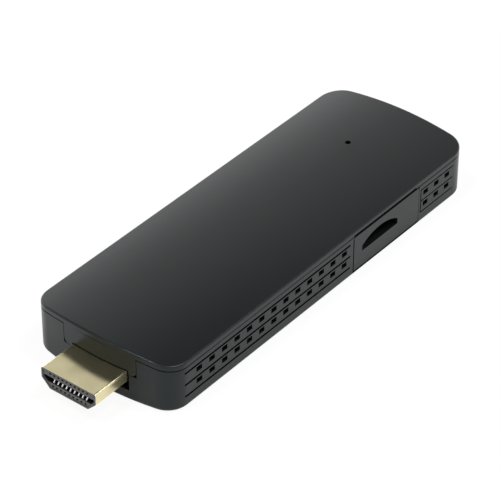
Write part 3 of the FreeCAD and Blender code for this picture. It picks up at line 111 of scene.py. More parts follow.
class Nodes:  # one node tree, with one way of adding a node
    def __init__(self, tree):
        self.tree = tree
        tree.nodes.clear()

    def add(self, kind, settings=None, inputs=None, output=0):
        node = self.tree.nodes.new(kind)
        for setting, choice in (settings or {}).items():
            if setting == "stops":
                self.setStops(node.color_ramp, choice)
            else:
                setattr(node, setting, choice)
        for name, item in (inputs or {}).items():
            if isinstance(item, Value):
                self.tree.links.new(item.socket, node.inputs[name])
            else:
                node.inputs[name].default_value = item
        return Value(self.tree, node.outputs[output]) if output is not None else node

    def setStops(self, ramp, stops):
        while len(ramp.elements) < len(stops):
            ramp.elements.new(1.0)
        for element, (place, colour) in zip(ramp.elements, stops):
            element.position = place
            element.color = colour

    def elevationLevel(self, up, table):  # light level by the angle above the floor
        brightest = max(level for turn, level in table)
        stops = [(math.sin(math.radians(turn)), grey(level / brightest)) for turn, level in table]
        shade = self.add("ShaderNodeValToRGB", {"stops": stops}, {"Fac": up})
        return self.add("ShaderNodeRGBToBW", inputs={"Color": shade}) * brightest

    def axes(self, vector):
        split = self.add("ShaderNodeSeparateXYZ", inputs={0: vector}, output=None)
        return [Value(self.tree, socket) for socket in split.outputs]

    def rays(self):  # 1 for what the camera sees, and 1 for what is seen in gloss or glass
        path = self.add("ShaderNodeLightPath", output=None)
        direct, glossy, through = (Value(self.tree, path.outputs[name]) for name in (
            "Is Camera Ray", "Is Glossy Ray", "Is Transmission Ray"))
        return direct, (glossy + through).clamped()

    def mixed(self, factor, first, second):
        return first + factor * (second - first)

    def mixColour(self, factor, first, second):
        return self.add("ShaderNodeMix", {"data_type": "RGBA"},
                        {0: factor, 6: first, 7: second}, output=2)


class Finish(Nodes):  # a material with one principled shader
    def __init__(self, name, **sockets):
        self.material = bpy.data.materials.new(name)
        self.material.use_nodes = True
        super().__init__(self.material.node_tree)
        self.shader = self.tree.nodes.new("ShaderNodeBsdfPrincipled")
        self.target = self.tree.nodes.new("ShaderNodeOutputMaterial")
        self.tree.links.new(self.shader.outputs[0], self.target.inputs[0])
        self.place = self.add("ShaderNodeTexCoord", output=3)
        self.feed(**sockets)

    def feed(self, **sockets):
        for name, item in sockets.items():
            socket = self.shader.inputs[socketNames[name]]
            if isinstance(item, Value):
                self.tree.links.new(item.socket, socket)
            else:
                socket.default_value = item

    def noise(self, scale, detail=2.0, rough=0.5, place=None):
        return self.add("ShaderNodeTexNoise", inputs={
            "Vector": place or self.place, "Scale": scale, "Detail": detail, "Roughness": rough})

    def drawnNoise(self, stretch, scale, detail=3.0, rough=0.6):  # drawn out along an axis
        place = self.add("ShaderNodeMapping", inputs={"Vector": self.place, "Scale": stretch})
        return self.noise(scale, detail, rough, place)

    def millimetres(self):  # the place on the object, as three numbers in mm
        return [side * perMetre for side in self.axes(self.place)]

    def facing(self):  # the way the surface looks, as three numbers
        return self.axes(self.add("ShaderNodeTexCoord", output=1))

    def crease(self, reach, dark, light):  # 1 in grooves and corners, 0 in the open: where shade is painted, from ambient occlusion
        shade = self.add("ShaderNodeAmbientOcclusion", {"samples": 8}, {"Distance": reach},
                         output=1)
        return self.add("ShaderNodeMapRange", inputs={
            "Value": shade, "From Min": dark, "From Max": light, "To Min": 1.0, "To Max": 0.0})

    def bump(self, height, strength, distance):
        return self.add("ShaderNodeBump", inputs={
            "Height": height, "Strength": strength, "Distance": distance})


socketNames = {
    "colour": "Base Color", "roughness": "Roughness", "metallic": "Metallic",
    "normal": "Normal", "specular": "Specular IOR Level", "shine": "Specular Tint",
    "coat": "Coat Weight", "coatRoughness": "Coat Roughness",
}


def grey(level, tint=(1.0, 1.0, 1.0)):  # a level of light, as a colour
    return (level * tint[0], level * tint[1], level * tint[2], 1.0)


def full(colour):  # three numbers, as a colour
    return (*colour, 1.0)


def dress(finish, *names):  # gives CAD nodes their finish
    for name in names:
        for place in nodes[name].material_slots:
            place.material = finish.material


# case plastic

caseLook = {
    "albedo": 0.0062, "tint": (0.86, 1.0, 1.02), "spread": 0.15,
    "specular": 0.3, "shine": (0.9, 1.0, 1.02),
    "roughness": 0.25, "wornRoughness": 0.06, "grainRoughness": 0.05,
    "grainScale": 5200.0, "grainStrength": 0.55, "grainHeight": 0.012 * mm,
    "flowScale": 38.0, "wornScale": 210.0,
    # the crease keys set the painted shade in grooves, seams and corners
    "creaseReach": 0.5 * mm, "creaseShade": (0.62, 0.93), "creaseAlbedo": 0.002,
    "wall": 17.0,  # the long sides lie further out than this, in mm
}
tabPlace = {"front": -43.5, "middle": -0.7, "half": 8.7, "bottom": 8.0,
            "ledge": (11.2, 11.55), "bow": 0.0155}
# places of the painted shade lines along the panel's seams and the side grooves, in mm
panelSeamShade = {"start": 13.6, "end": 36.6, "foot": 0.78, "head": 9.3, "half": 0.14,
             "footHalf": 0.3}
grooveShadeLines = {"levels": (2.8, 5.65, 8.49), "half": 0.24, "start": -40.3, "end": 12.4}
partingLine = {"low": 9.2, "middle": -14.0, "clear": 15.0, "fade": 8.0, "hidden": 0.8}


def casePlasticFinish():
    look = caseLook
    finish = Finish("casePlastic", specular=look["specular"], shine=full(look["shine"]))
    grain = finish.noise(look["grainScale"], 3.0, 0.65)
    flow = finish.noise(look["flowScale"], 2.0)
    worn = finish.noise(look["wornScale"], 4.0, 0.6)
    tone = finish.mixColour(flow, grey(look["albedo"] * (1 - look["spread"]), look["tint"]),
                            grey(look["albedo"] * (1 + look["spread"]), look["tint"]))
    x, y, z = finish.millimetres()
    sides = y.distance(0.0) > look["wall"]

    tab = tabPlace
    tabFace = (x < tab["front"]) * (y.distance(tab["middle"]) < tab["half"]) * (z > tab["bottom"])
    ledge = tabFace * (z > tab["ledge"][0]) * (z < tab["ledge"][1])  # shades as the tab's face
    bowed = finish.add("ShaderNodeCombineXYZ", inputs={"X": -1.0, "Y": y * tab["bow"], "Z": 0.0})

    # painted shade: dark lines along the panel's foot and front edge and along the grooves, for
    # the shade in them; the foot line also paints the contact shadow
    panel = panelSeamShade
    foot = ((z.distance(panel["foot"]) < panel["footHalf"])
            * (x > panel["start"]) * (x < panel["end"]))
    edge = (x.distance(panel["start"]) < panel["half"]) * (z < panel["head"])
    lines = sum(z.distance(level) < grooveShadeLines["half"] for level in grooveShadeLines["levels"])
    lines = lines * (x > grooveShadeLines["start"]) * (x < grooveShadeLines["end"])
    paintedSeamShade = (foot + edge + lines).clamped() * sides

    parting = partingLine  # the parting line's painted shade shows least along the middle of a side
    closed = (1.0 - (x.distance(parting["middle"]) - parting["clear"]) / parting["fade"]).clamped()
    closed = closed * sides * (z > parting["low"]) * parting["hidden"]
    # painted shade: grooves, seams and corners turn black, rough and glossless, by ambient
    # occlusion
    crease = finish.crease(look["creaseReach"], *look["creaseShade"])
    crease = (crease * (1.0 - tabFace) * (1.0 - closed) + paintedSeamShade).clamped()

    rough = look["roughness"] + look["wornRoughness"] * worn + look["grainRoughness"] * grain
    grained = finish.bump(grain, look["grainStrength"], look["grainHeight"])
    finish.feed(
        colour=finish.mixColour(crease, tone, grey(look["creaseAlbedo"])),
        roughness=rough + crease * (1.0 - rough),
        metallic=crease,  # painted shade: a black metal gives no gloss in the grooves
        normal=finish.add("ShaderNodeMix", {"data_type": "VECTOR"},
                          {0: ledge, 4: grained, 5: bowed}, output=1),
    )
    return finish


dress(casePlasticFinish(), "lower_housing", "top_cover", "card_panel", "power_panel")
print("case plastic done")


# plug

plugLook = {
    "gold": (0.8, 0.72, 0.45), "shade": (0.71, 0.64, 0.4), "cloudScale": 240.0,
    "roughness": 0.2, "cloudRoughness": 0.1, "rimRoughness": 0.15,
    "brushScale": 420.0, "brushStretch": (1.0, 26.0, 26.0), "brushHeight": 0.01 * mm,
    "rim": 0.11, "rimEnd": -54.78,  # the sheet's bare cut edge
}
moulding = {  # glass-filled plastic
    "plug": 0.075, "plugTint": (0.97, 0.98, 1.0), "socket": 0.012, "spread": 0.12,
    "grain": 3400.0, "stretch": (0.35, 1.0, 1.0), "height": 0.015 * mm, "flowScale": 320.0,
    "roughness": 0.37, "grainRoughness": 0.2,
    # painted shade in recesses: its reach, occlusion range and darkness
    "reach": 0.7 * mm, "shade": (0.4, 0.86), "deep": 0.06,
    "front": -54.68, "darkening": 12.0,  # painted shade: behind the front the plug's moulding is darkened, inside the shell
}


def plugPlatingFinish():
    look = plugLook
    finish = Finish("plugPlating", metallic=1.0)
    cloud = finish.noise(look["cloudScale"], 3.0)
    brushed = finish.drawnNoise(look["brushStretch"], look["brushScale"])
    plated = finish.mixColour(cloud, full(look["gold"]), full(look["shade"]))
    rim = finish.millimetres()[0] < look["rimEnd"]
    finish.feed(
        colour=finish.mixColour(rim, plated, grey(look["rim"])),
        roughness=look["roughness"] + look["cloudRoughness"] * cloud + look["rimRoughness"] * rim,
        normal=finish.bump(brushed, 0.12, look["brushHeight"]),
    )
    return finish


def mouldedFinish(name, level, tint=(1.0, 1.0, 1.0), front=None):
    look = moulding
    finish = Finish(name, specular=0.35)
    fibres = finish.drawnNoise(look["stretch"], look["grain"], 4.0, 0.7)
    flow = finish.noise(look["flowScale"], 2.0)
    # painted shade: recesses of the moulding darken, from ambient occlusion
    deep = finish.crease(look["reach"], *look["shade"])
    if front is not None:  # painted shade: only the front face stays light, the moulding behind it darkens
        inside = (finish.millimetres()[0] - front) * look["darkening"]
        deep = finish.mixed(inside.clamped(), deep, 1.0)
    tone = finish.mixColour(flow, grey(level * (1 - look["spread"]), tint),
                            grey(level * (1 + look["spread"]), tint))
    finish.feed(
        colour=finish.mixColour(deep, tone, grey(level * look["deep"], tint)),
        roughness=look["roughness"] + look["grainRoughness"] * fibres,
        normal=finish.bump(fibres, 0.5, look["height"]),
    )
    return finish


dress(plugPlatingFinish(), "plug_shell")
dress(mouldedFinish("plugMoulding", moulding["plug"], moulding["plugTint"], moulding["front"]),
      "plug_insulator")
dress(mouldedFinish("socketMoulding", moulding["socket"]),
      "card_socket", "inlet_core", "usb_core", "switch_body")
print("plug done")


# modelling

def freshSelection():
    if bpy.context.object and bpy.context.object.mode != "OBJECT":
        bpy.ops.object.mode_set(mode="OBJECT")
    bpy.ops.object.select_all(action="DESELECT")


def pick(piece, test, kind="FACE"):  # selects faces or edges by their middle, in mm
    bpy.ops.object.mode_set(mode="EDIT")
    bpy.ops.mesh.select_mode(type=kind)
    bpy.ops.mesh.select_all(action="DESELECT")
    bpy.ops.object.mode_set(mode="OBJECT")
    mesh = piece.data
    if kind == "FACE":
        for face in mesh.polygons:
            face.select = test(face.center / mm, face.normal)
    else:
        for edge in mesh.edges:
            first, second = (mesh.vertices[index].co for index in edge.vertices)
            edge.select = test((first + second) / 2 / mm, (second - first) / mm)
    bpy.ops.object.mode_set(mode="EDIT")


def push(x, y, z):  # extrudes what is picked, in mm
    bpy.ops.mesh.extrude_region_move(TRANSFORM_OT_translate={
        "value": (x * mm, y * mm, z * mm)})


def shapeBy(piece, kind, **settings):  # one modifier, applied
    modifier = piece.modifiers.new(kind.title(), kind)
    for setting, choice in settings.items():
        setattr(modifier, setting, choice)
    bpy.ops.object.modifier_apply(modifier=modifier.name)


def finishPiece(piece, finish, body, slotName, *replaced, sharp=35.0):  # sharp in degrees
    if bpy.context.object.mode != "OBJECT":
        bpy.ops.object.mode_set(mode="OBJECT")
    bpy.ops.object.transform_apply(location=True, rotation=True, scale=True)
    bpy.ops.object.shade_smooth_by_angle(angle=math.radians(sharp))
    piece.data.materials.clear()
    piece.data.materials.append(finish.material)
    settle(piece, body, slotName, *replaced)


def settle(piece, body, slotName, *replaced):  # what it rides on and stands for
    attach(piece, body)
    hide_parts(*replaced)


def jointTravel(joint):  # how far a joint moves, in metres
    return next(max(item["range_m"]) for item in frame["joints"] if item["name"] == joint)


def copyBeside(piece, name, y):  # a copy with its own mesh, moved in mm
    twin = piece.copy()
    twin.data = piece.data.copy()
    twin.name = name
    twin.data.transform(Matrix.Translation((0.0, y * mm, 0.0)))
    bpy.context.collection.objects.link(twin)
    return twin


def sweepStrip(name, width, middle, path):  # a flat strip along (x, z) points, in mm
    freshSelection()
    bpy.ops.mesh.primitive_plane_add(size=1.0)
    piece = bpy.context.object
    piece.name = name
    (startX, startZ), (nextX, nextZ) = path[0], path[1]
    for vertex in piece.data.vertices:
        along = vertex.co.x > 0
        vertex.co = Vector((nextX if along else startX, middle + width * vertex.co.y,
                            nextZ if along else startZ)) * mm
    pick(piece, lambda spot, run: abs(run.y) > width / 2 and spot.x > (startX + nextX) / 2, "EDGE")
    for (fromX, fromZ), (toX, toZ) in zip(path[1:], path[2:]):
        push(toX - fromX, 0.0, toZ - fromZ)
    bpy.ops.object.mode_set(mode="OBJECT")
    return piece


# plug contacts

contactLook = {
    "silver": (0.93, 0.92, 0.88), "gold": (0.9, 0.76, 0.45), "worn": 0.82, "cloudScale": 1300.0,
    "roughness": 0.17, "wipeRoughness": 0.12,
    "wipeScale": 900.0, "wipeStretch": (0.08, 1.0, 1.0), "wipeHeight": 0.004 * mm,
}
contactEdge = {"width": 0.03 * mm, "segments": 2, "angle_limit": math.radians(60)}
lowerStrip = {
    "width": 0.32, "firstMiddle": -5.25, "count": 9, "pitch": 1.05, "sheet": 0.16,
    "path": [(-54.45, 4.42), (-54.38, 4.46), (-54.02, 4.88), (-53.92, 4.96), (-53.76, 4.98),
             (-53.4, 4.94), (-52.2, 4.7), (-51.4, 4.5), (-50.8, 4.44), (-39.4, 4.44)],
}
upperStrip = {
    "width": 0.42, "firstMiddle": -5.67, "count": 10, "pitch": 1.05, "sheet": 0.14,
    "path": [(-54.0, 5.62), (-53.9, 5.56), (-53.6, 5.48), (-53.3, 5.46), (-52.0, 5.52),
             (-51.2, 5.6), (-50.6, 5.63), (-40.8, 5.63), (-40.6, 5.5), (-40.5, 4.6),
             (-40.35, 4.46), (-39.4, 4.44)],
}


def contactFinish(name, colour):
    look = contactLook
    finish = Finish(name, metallic=1.0)
    wiped = finish.drawnNoise(look["wipeStretch"], look["wipeScale"])
    cloud = finish.noise(look["cloudScale"], 2.0)
    worn = [side * look["worn"] for side in colour]
    finish.feed(
        colour=finish.mixColour(cloud, full(colour), full(worn)),
        roughness=look["roughness"] + look["wipeRoughness"] * wiped,
        normal=finish.bump(wiped, 0.3, look["wipeHeight"]),
    )
    return finish


def contactRow(name, strip, node, finish):
    piece = sweepStrip(name + "01", strip["width"], strip["firstMiddle"], strip["path"])
    shapeBy(piece, "SOLIDIFY", thickness=strip["sheet"] * mm, offset=1.0)
    shapeBy(piece, "BEVEL", limit_method="ANGLE", **contactEdge)
    finishPiece(piece, finish, "stick", "contact_plating", node)
    for number in range(1, strip["count"]):
        twin = copyBeside(piece, f"{name}{number + 1:02d}", y=number * strip["pitch"])
        settle(twin, "stick", "contact_plating", node)


brightContact = contactFinish("brightContact", contactLook["silver"])
goldContact = contactFinish("goldContact", contactLook["gold"])
contactRow("lowerContact", lowerStrip, "lower_contacts", brightContact)
contactRow("upperContact", upperStrip, "upper_contacts", brightContact)
dress(goldContact, "card_contacts", "inlet_contacts", "usb_contacts")
print("contacts done")


# circuit board

boardLook = {
    "mask": (0.006, 0.05, 0.026), "track": (0.012, 0.085, 0.042), "edge": (0.42, 0.35, 0.17),
    "gold": (0.75, 0.55, 0.22), "trackPitch": 0.62, "trackWidth": 0.13,
    "viaPitch": 1.7, "viaRing": 0.24, "viaHole": 0.12, "viaShare": 0.55, "viaScale": 330.0,
    "regionScale": 140.0, "lengthways": 0.52, "crossways": 0.45,  # where tracks run each way
    "weaveScale": 2600.0, "height": 0.02 * mm,
}


def boardFinish():
    look = boardLook
    finish = Finish("boardLaminate", specular=0.5, coatRoughness=0.15)
    x, y, z = finish.millimetres()
    flat = finish.facing()[2].distance(0.0) > 0.5
    region = finish.noise(look["regionScale"], 1.0)
    pitch, half = look["trackPitch"], look["trackPitch"] / 2
    lengthways = y.wrap(pitch).distance(half) < look["trackWidth"]
    crossways = x.wrap(pitch).distance(half) < look["trackWidth"]
    track = (lengthways * (region > look["lengthways"])
             + crossways * (region < look["crossways"])).clamped()
    spotX, spotY = (side.wrap(look["viaPitch"]).distance(look["viaPitch"] / 2) for side in (x, y))
    reach = (spotX * spotX + spotY * spotY).root()
    chosen = finish.noise(look["viaScale"], 0.0) > look["viaShare"]
    ring = (reach < look["viaRing"]) * (reach > look["viaHole"]) * chosen
    hole = (reach < look["viaHole"]) * chosen
    face = finish.mixColour(track, grey(1.0, look["mask"]), grey(1.0, look["track"]))
    face = finish.mixColour(ring, face, grey(1.0, look["gold"]))
    # painted shade: each via hole is a near-black disc
    face = finish.mixColour(hole, face, grey(0.005))
    weave = finish.noise(look["weaveScale"], 3.0, 0.7)
    side = finish.mixColour(weave, grey(0.7, look["edge"]), grey(1.1, look["edge"]))
    finish.feed(
        colour=finish.mixColour(flat, side, face),
        roughness=0.32 + 0.3 * (1.0 - flat) + 0.12 * weave,
        metallic=ring * flat,
        coat=0.5 * flat * (1.0 - ring),
        normal=finish.bump(track + weave * 0.2 - hole, 0.6, look["height"]),
    )
    return finish


boardLaminate = boardFinish()
dress(boardLaminate, "main_board")
print("board done")


# finishes of the parts on the board

chipLook = {"resin": 0.022, "dimple": 2.4, "roughness": 0.52, "grain": 4200.0,
            "flowScale": 260.0, "height": 0.01 * mm}
pinDots = {  # place of the pin-one dimple in x and y, and its radius
    "system_chip": [(-14.0, 6.0, 0.45)],
    "memory_chips": [(-24.9, 13.1, 0.3), (-24.9, -1.9, 0.3)],
    "flash_chip": [(2.7, -1.75, 0.4)],
    "power_chip": [(2.6, 9.85, 0.3)],
    "radio_chip": [(33.9, -6.6, 0.3)],
    "surge_arrays": [(-29.25, 5.5, 0.1), (-29.25, 2.5, 0.1), (-29.25, -0.5, 0.1),
                     (-29.25, -3.5, 0.1)],
}


def chipFinish(node):
    look = chipLook
    finish = Finish(node + "Resin", specular=0.4)
    x, y, z = finish.millimetres()
    dimple = 0.0
    for spotX, spotY, radius in pinDots[node]:
        near = ((x - spotX) * (x - spotX) + (y - spotY) * (y - spotY)).root()
        dimple = (near < radius) + dimple
    grain = finish.noise(look["grain"], 4.0, 0.7)
    flow = finish.noise(look["flowScale"], 2.0)
    level = look["resin"]
    tone = finish.mixColour(flow, grey(level * 0.8), grey(level * 1.3))
    top = finish.facing()[2] > 0.5
    finish.feed(
        colour=finish.mixColour(dimple * 0.6, tone, grey(level * look["dimple"])),
        roughness=look["roughness"] + 0.2 * grain - 0.25 * dimple,
        normal=finish.bump(grain - 4.0 * dimple * top, 0.6, look["height"]),
    )
    return finish


padLook = {"silicone": (0.22, 0.3, 0.4), "pale": (0.3, 0.38, 0.48), "crumbs": 0.65,
           "crumbScale": 5200.0, "cloudScale": 420.0, "height": 0.03 * mm}


def padFinish():  # soft filled silicone
    look = padLook
    finish = Finish("padSilicone", specular=0.35)
    crumbs = finish.noise(look["crumbScale"], 4.0, 0.75)
    cloud = finish.noise(look["cloudScale"], 2.0)
    tone = finish.mixColour(cloud, full(look["silicone"]), full(look["pale"]))
    finish.feed(colour=finish.mixColour(crumbs * 0.3, tone, grey(look["crumbs"])),
                roughness=0.6 + 0.25 * crumbs, normal=finish.bump(crumbs, 0.8, look["height"]))
    return finish


sheetLooks = {  # roughness, how far the drawing lines are stretched, and their scale
    "sinkAluminium": {"colour": (0.78, 0.79, 0.8), "rough": 0.34, "lines": (1.0, 18.0, 18.0),
                      "scale": 520.0},
    "tinSheet": {"colour": (0.72, 0.72, 0.71), "rough": 0.28, "lines": (1.0, 1.0, 9.0),
                 "scale": 700.0},
    "windingCopper": {"colour": (0.8, 0.42, 0.2), "rough": 0.26, "lines": (9.0, 9.0, 1.0),
                      "scale": 520.0},
    "springWire": {"colour": (0.62, 0.62, 0.63), "rough": 0.3, "lines": (6.0, 1.0, 6.0),
                   "scale": 520.0},
}
sheetShade = {"dull": 0.74, "cloudScale": 300.0, "height": 0.008 * mm}


def sheetMetalFinish(name):
    look = sheetLooks[name]
    finish = Finish(name, metallic=1.0)
    drawn = finish.drawnNoise(look["lines"], look["scale"], 4.0, 0.65)
    cloud = finish.noise(sheetShade["cloudScale"], 3.0)
    dull = [side * sheetShade["dull"] for side in look["colour"]]
    finish.feed(colour=finish.mixColour(cloud, full(look["colour"]), full(dull)),
                roughness=(look["rough"] - 0.06) + 0.16 * drawn + 0.06 * cloud,
                normal=finish.bump(drawn, 0.35, sheetShade["height"]))
    return finish


screwLook = {
    "rowMiddle": 6.2, "rowReach": 40.15, "side": 11.8,  # the four places
    "arm": 0.75, "slot": 0.17, "headFoot": 4.9, "depth": 0.1 * mm,
    "zinc": (0.42, 0.43, 0.46), "pale": (0.62, 0.62, 0.64), "cross": 0.03,
    "turnScale": 1500.0, "turnStretch": (0.3, 0.3, 5.0),
}


def screwFinish():  # zinc, with the driver's cross pressed into each head, and painted shade in the cross
    look = screwLook
    finish = Finish("screwZinc", metallic=1.0)
    x, y, z = finish.millimetres()
    fromX = (x.distance(look["rowMiddle"]) - look["rowReach"]).distance(0.0)
    fromY = (y.distance(0.0) - look["side"]).distance(0.0)
    arms = ((fromX < look["slot"]) * (fromY < look["arm"])
            + (fromY < look["slot"]) * (fromX < look["arm"])).clamped()
    cross = arms * (z > look["headFoot"])
    turned = finish.drawnNoise(look["turnStretch"], look["turnScale"])
    tone = finish.mixColour(turned, full(look["zinc"]), full(look["pale"]))
    # painted shade: the cross recess is coloured near black
    finish.feed(colour=finish.mixColour(cross, tone, grey(look["cross"])),
                roughness=0.3 + 0.15 * turned + 0.3 * cross,
                normal=finish.bump(turned * 0.2 - cross, 0.8, look["depth"]))
    return finish


ferriteLook = {"dark": 0.035, "pale": 0.085, "tin": 0.6, "grain": 3800.0, "height": 0.02 * mm,
               "middle": 14.52, "padStart": 1.05, "padTop": 4.6}


def ferriteFinish():
    look = ferriteLook
    finish = Finish("coilFerrite", specular=0.4)
    x, y, z = finish.millimetres()
    ends = (x.distance(look["middle"]) > look["padStart"]) * (z < look["padTop"])  # tinned pads
    grain = finish.noise(look["grain"], 4.0, 0.75)
    tone = finish.mixColour(grain, grey(look["dark"]), grey(look["pale"]))
    finish.feed(colour=finish.mixColour(ends, tone, grey(look["tin"])), metallic=ends,
                roughness=0.55 + 0.25 * grain - 0.2 * ends,
                normal=finish.bump(grain, 0.7, look["height"]))
    return finish


tantalumLook = {"resin": (0.62, 0.38, 0.05), "pale": (0.8, 0.52, 0.09),
                "stripe": (0.16, 0.07, 0.02), "stripeStart": 0.45, "stripeEnd": 0.95,
                "first": 18.35, "pitch": 5.0, "top": 6.25, "grain": 3000.0,
                "height": 0.012 * mm}


def tantalumFinish():  # moulded resin with a stripe
    look = tantalumLook
    finish = Finish("capacitorResin", specular=0.4)
    x, y, z = finish.millimetres()
    along = (x - look["first"]).wrap(look["pitch"])
    stripe = (along > look["stripeStart"]) * (along < look["stripeEnd"]) * (z > look["top"])
    grain = finish.noise(look["grain"], 4.0, 0.7)
    tone = finish.mixColour(grain, full(look["resin"]), full(look["pale"]))
    finish.feed(colour=finish.mixColour(stripe, tone, full(look["stripe"])),
                roughness=0.42 + 0.2 * grain, normal=finish.bump(grain, 0.5, look["height"]))
    return finish


ceramicLooks = {"bypassCeramic": (0.42, 0.3, 0.17), "antennaCeramic": (0.7, 0.68, 0.62)}
ceramicGrain = {"scale": 3600.0, "pale": 1.25, "height": 0.01 * mm}


def ceramicFinish(name):  # fired block
    body = ceramicLooks[name]
    finish = Finish(name, specular=0.45)
    grain = finish.noise(ceramicGrain["scale"], 3.0, 0.7)
    pale = [side * ceramicGrain["pale"] for side in body]
    finish.feed(colour=finish.mixColour(grain, full(body), full(pale)),
                roughness=0.36 + 0.22 * grain,
                normal=finish.bump(grain, 0.4, ceramicGrain["height"]))
    return finish


nylonLooks = {"sliderNylon": (0.6, 0.58, 0.52), "plungerNylon": (0.05, 0.05, 0.052)}
nylonGrain = {"scale": 2800.0, "flowScale": 500.0, "pale": 1.12, "height": 0.012 * mm}


def nylonFinish(name):
    colour = nylonLooks[name]
    finish = Finish(name, specular=0.4)
    grain = finish.noise(nylonGrain["scale"], 4.0, 0.65)
    flow = finish.noise(nylonGrain["flowScale"], 2.0)
    pale = [min(1.0, side * nylonGrain["pale"]) for side in colour]
    finish.feed(colour=finish.mixColour(flow, full(colour), full(pale)),
                roughness=0.38 + 0.2 * grain,
                normal=finish.bump(grain, 0.4, nylonGrain["height"]))
    return finish


dress(sheetMetalFinish("sinkAluminium"), "heat_sink")
tinSheet = sheetMetalFinish("tinSheet")
dress(tinSheet, "radio_can", "card_socket_cover", "inlet_shell", "usb_shell")
dress(screwFinish(), "board_screws")
dress(nylonFinish("sliderNylon"), "card_slider")
dress(nylonFinish("plungerNylon"), "reset_plunger")
print("metal parts done")


# chips and small parts

boardTop = 4.4  # the board's upper face
nearby = 0.01  # places closer than this count as one


def addBlock(name, low, high, rounding, segments=2, sharpFoot=False):  # corners in mm
    freshSelection()
    middle = [(first + second) / 2 * mm for first, second in zip(low, high)]
    extent = [(second - first) * mm for first, second in zip(low, high)]
    bpy.ops.mesh.primitive_cube_add(size=1.0, location=middle, scale=extent)
    piece = bpy.context.object
    piece.name = name
    bpy.ops.object.transform_apply(location=True, rotation=True, scale=True)
    pick(piece, lambda spot, run: not sharpFoot or spot.z > low[2] + nearby, "EDGE")
    bpy.ops.mesh.bevel(offset=rounding * mm, segments=segments, affect="EDGES")
    bpy.ops.object.mode_set(mode="OBJECT")
    return piece


def repeat(piece, *rows):  # each row: how many, and the step in x and y, in mm
    for count, stepX, stepY in rows:
        shapeBy(piece, "ARRAY", count=count, use_relative_offset=False, use_constant_offset=True,
                constant_offset_displace=(stepX * mm, stepY * mm, 0.0))
    return piece


def sinkTop(piece, rim, slope, depth):  # presses a shallow field into the top
    top = max(vertex.co.z for vertex in piece.data.vertices) / mm
    pick(piece, lambda spot, normal: normal.z > 0.9 and spot.z > top - nearby)
    bpy.ops.mesh.inset(thickness=rim * mm)
    bpy.ops.mesh.inset(thickness=slope * mm, depth=-depth * mm)
    bpy.ops.object.mode_set(mode="OBJECT")


ballChips = {  # chips on a small board of their own: corners in x and y, top
    "system_chip": [((-15.025, -7.0), (-1.025, 7.0), 5.5)],
    "memory_chips": [((-25.5, -13.75), (-18.0, -1.25), 5.4),
                     ((-25.5, 1.25), (-18.0, 13.75), 5.4)],
    "flash_chip": [((1.95, -14.0), (13.45, -1.0), 5.4)],
}
ballShape = {"baseTop": 4.7, "baseEdge": 0.04, "rim": 0.3, "edge": 0.12, "edgeSteps": 3,
             "fieldRim": 0.35, "fieldSlope": 0.03, "fieldDepth": 0.02}
padChips = {  # chips with flat pads: corners, bottom, top, pads on a side, their pitch
    "power_chip": [((1.95, 4.5), (7.95, 10.5), 4.4, 5.3, 8, 0.65)],
    "radio_chip": [((33.228, -11.9), (39.228, -5.9), 5.2, 6.0, 8, 0.65)],
    "surge_arrays": [((-29.475, start), (-28.475, start + 2.5), 4.4, 4.9, 5, 0.48)
                     for start in (-5.75, -2.75, 0.25, 3.25)],
}
padShape = {"inset": 0.03, "lift": 0.02, "edge": 0.06, "padReach": 0.3, "padWidth": 0.28,
            "padHeight": 0.12, "padEdge": 0.02, "narrow": 2.0}  # narrow chips: two rows only


def makeBallChip(name, node, low, high, top, resin):
    shape = ballShape
    base = addBlock("base" + name, (*low, boardTop), (*high, shape["baseTop"]), shape["baseEdge"])
    finishPiece(base, boardLaminate, "stick", "board_laminate", node)
    left, right = [side + shape["rim"] for side in low], [side - shape["rim"] for side in high]
    cap = addBlock("cap" + name, (*left, shape["baseTop"]), (*right, top), shape["edge"],
                   shape["edgeSteps"], sharpFoot=True)
    sinkTop(cap, shape["fieldRim"], shape["fieldSlope"], shape["fieldDepth"])
    finishPiece(cap, resin, "stick", "chip_resin", node)


def addPadRow(name, node, corner, size, step, across):  # one row, and its twin on the far side
    (x, y, z), (sizeX, sizeY, sizeZ) = corner, size
    row = addBlock(name, corner, (x + sizeX, y + sizeY, z + sizeZ), padShape["padEdge"], 1)
    finishPiece(repeat(row, step, across), tinSheet, "stick", "tin_steel", node)


def makePadChip(name, node, low, high, bottom, top, count, pitch, resin):
    shape = padShape
    inset, width, reach = shape["inset"], shape["padWidth"], shape["padReach"]
    cap = addBlock("cap" + name, (low[0] + inset, low[1] + inset, bottom + shape["lift"]),
                   (high[0] - inset, high[1] - inset, top), shape["edge"], sharpFoot=True)
    finishPiece(cap, resin, "stick", "chip_resin", node)
    startX, startY = ((first + last - (count - 1) * pitch - width) / 2
                      for first, last in zip(low, high))
    lengthX, lengthY = (last - first for first, last in zip(low, high))
    addPadRow("padsX" + name, node, (low[0], startY, bottom), (reach, width, shape["padHeight"]),
              (count, 0.0, pitch), (2, lengthX - reach, 0.0))
    if lengthX > shape["narrow"]:
        addPadRow("padsY" + name, node, (startX, low[1], bottom),
                  (width, reach, shape["padHeight"]), (count, pitch, 0.0),
                  (2, 0.0, lengthY - reach))


for chips, makeChip in ((ballChips, makeBallChip), (padChips, makePadChip)):
    for node, places in chips.items():
        resin = chipFinish(node)
        for number, values in enumerate(places, 1):
            makeChip(node.title().replace("_", "") + str(number), node, *values, resin)
print("chips done")

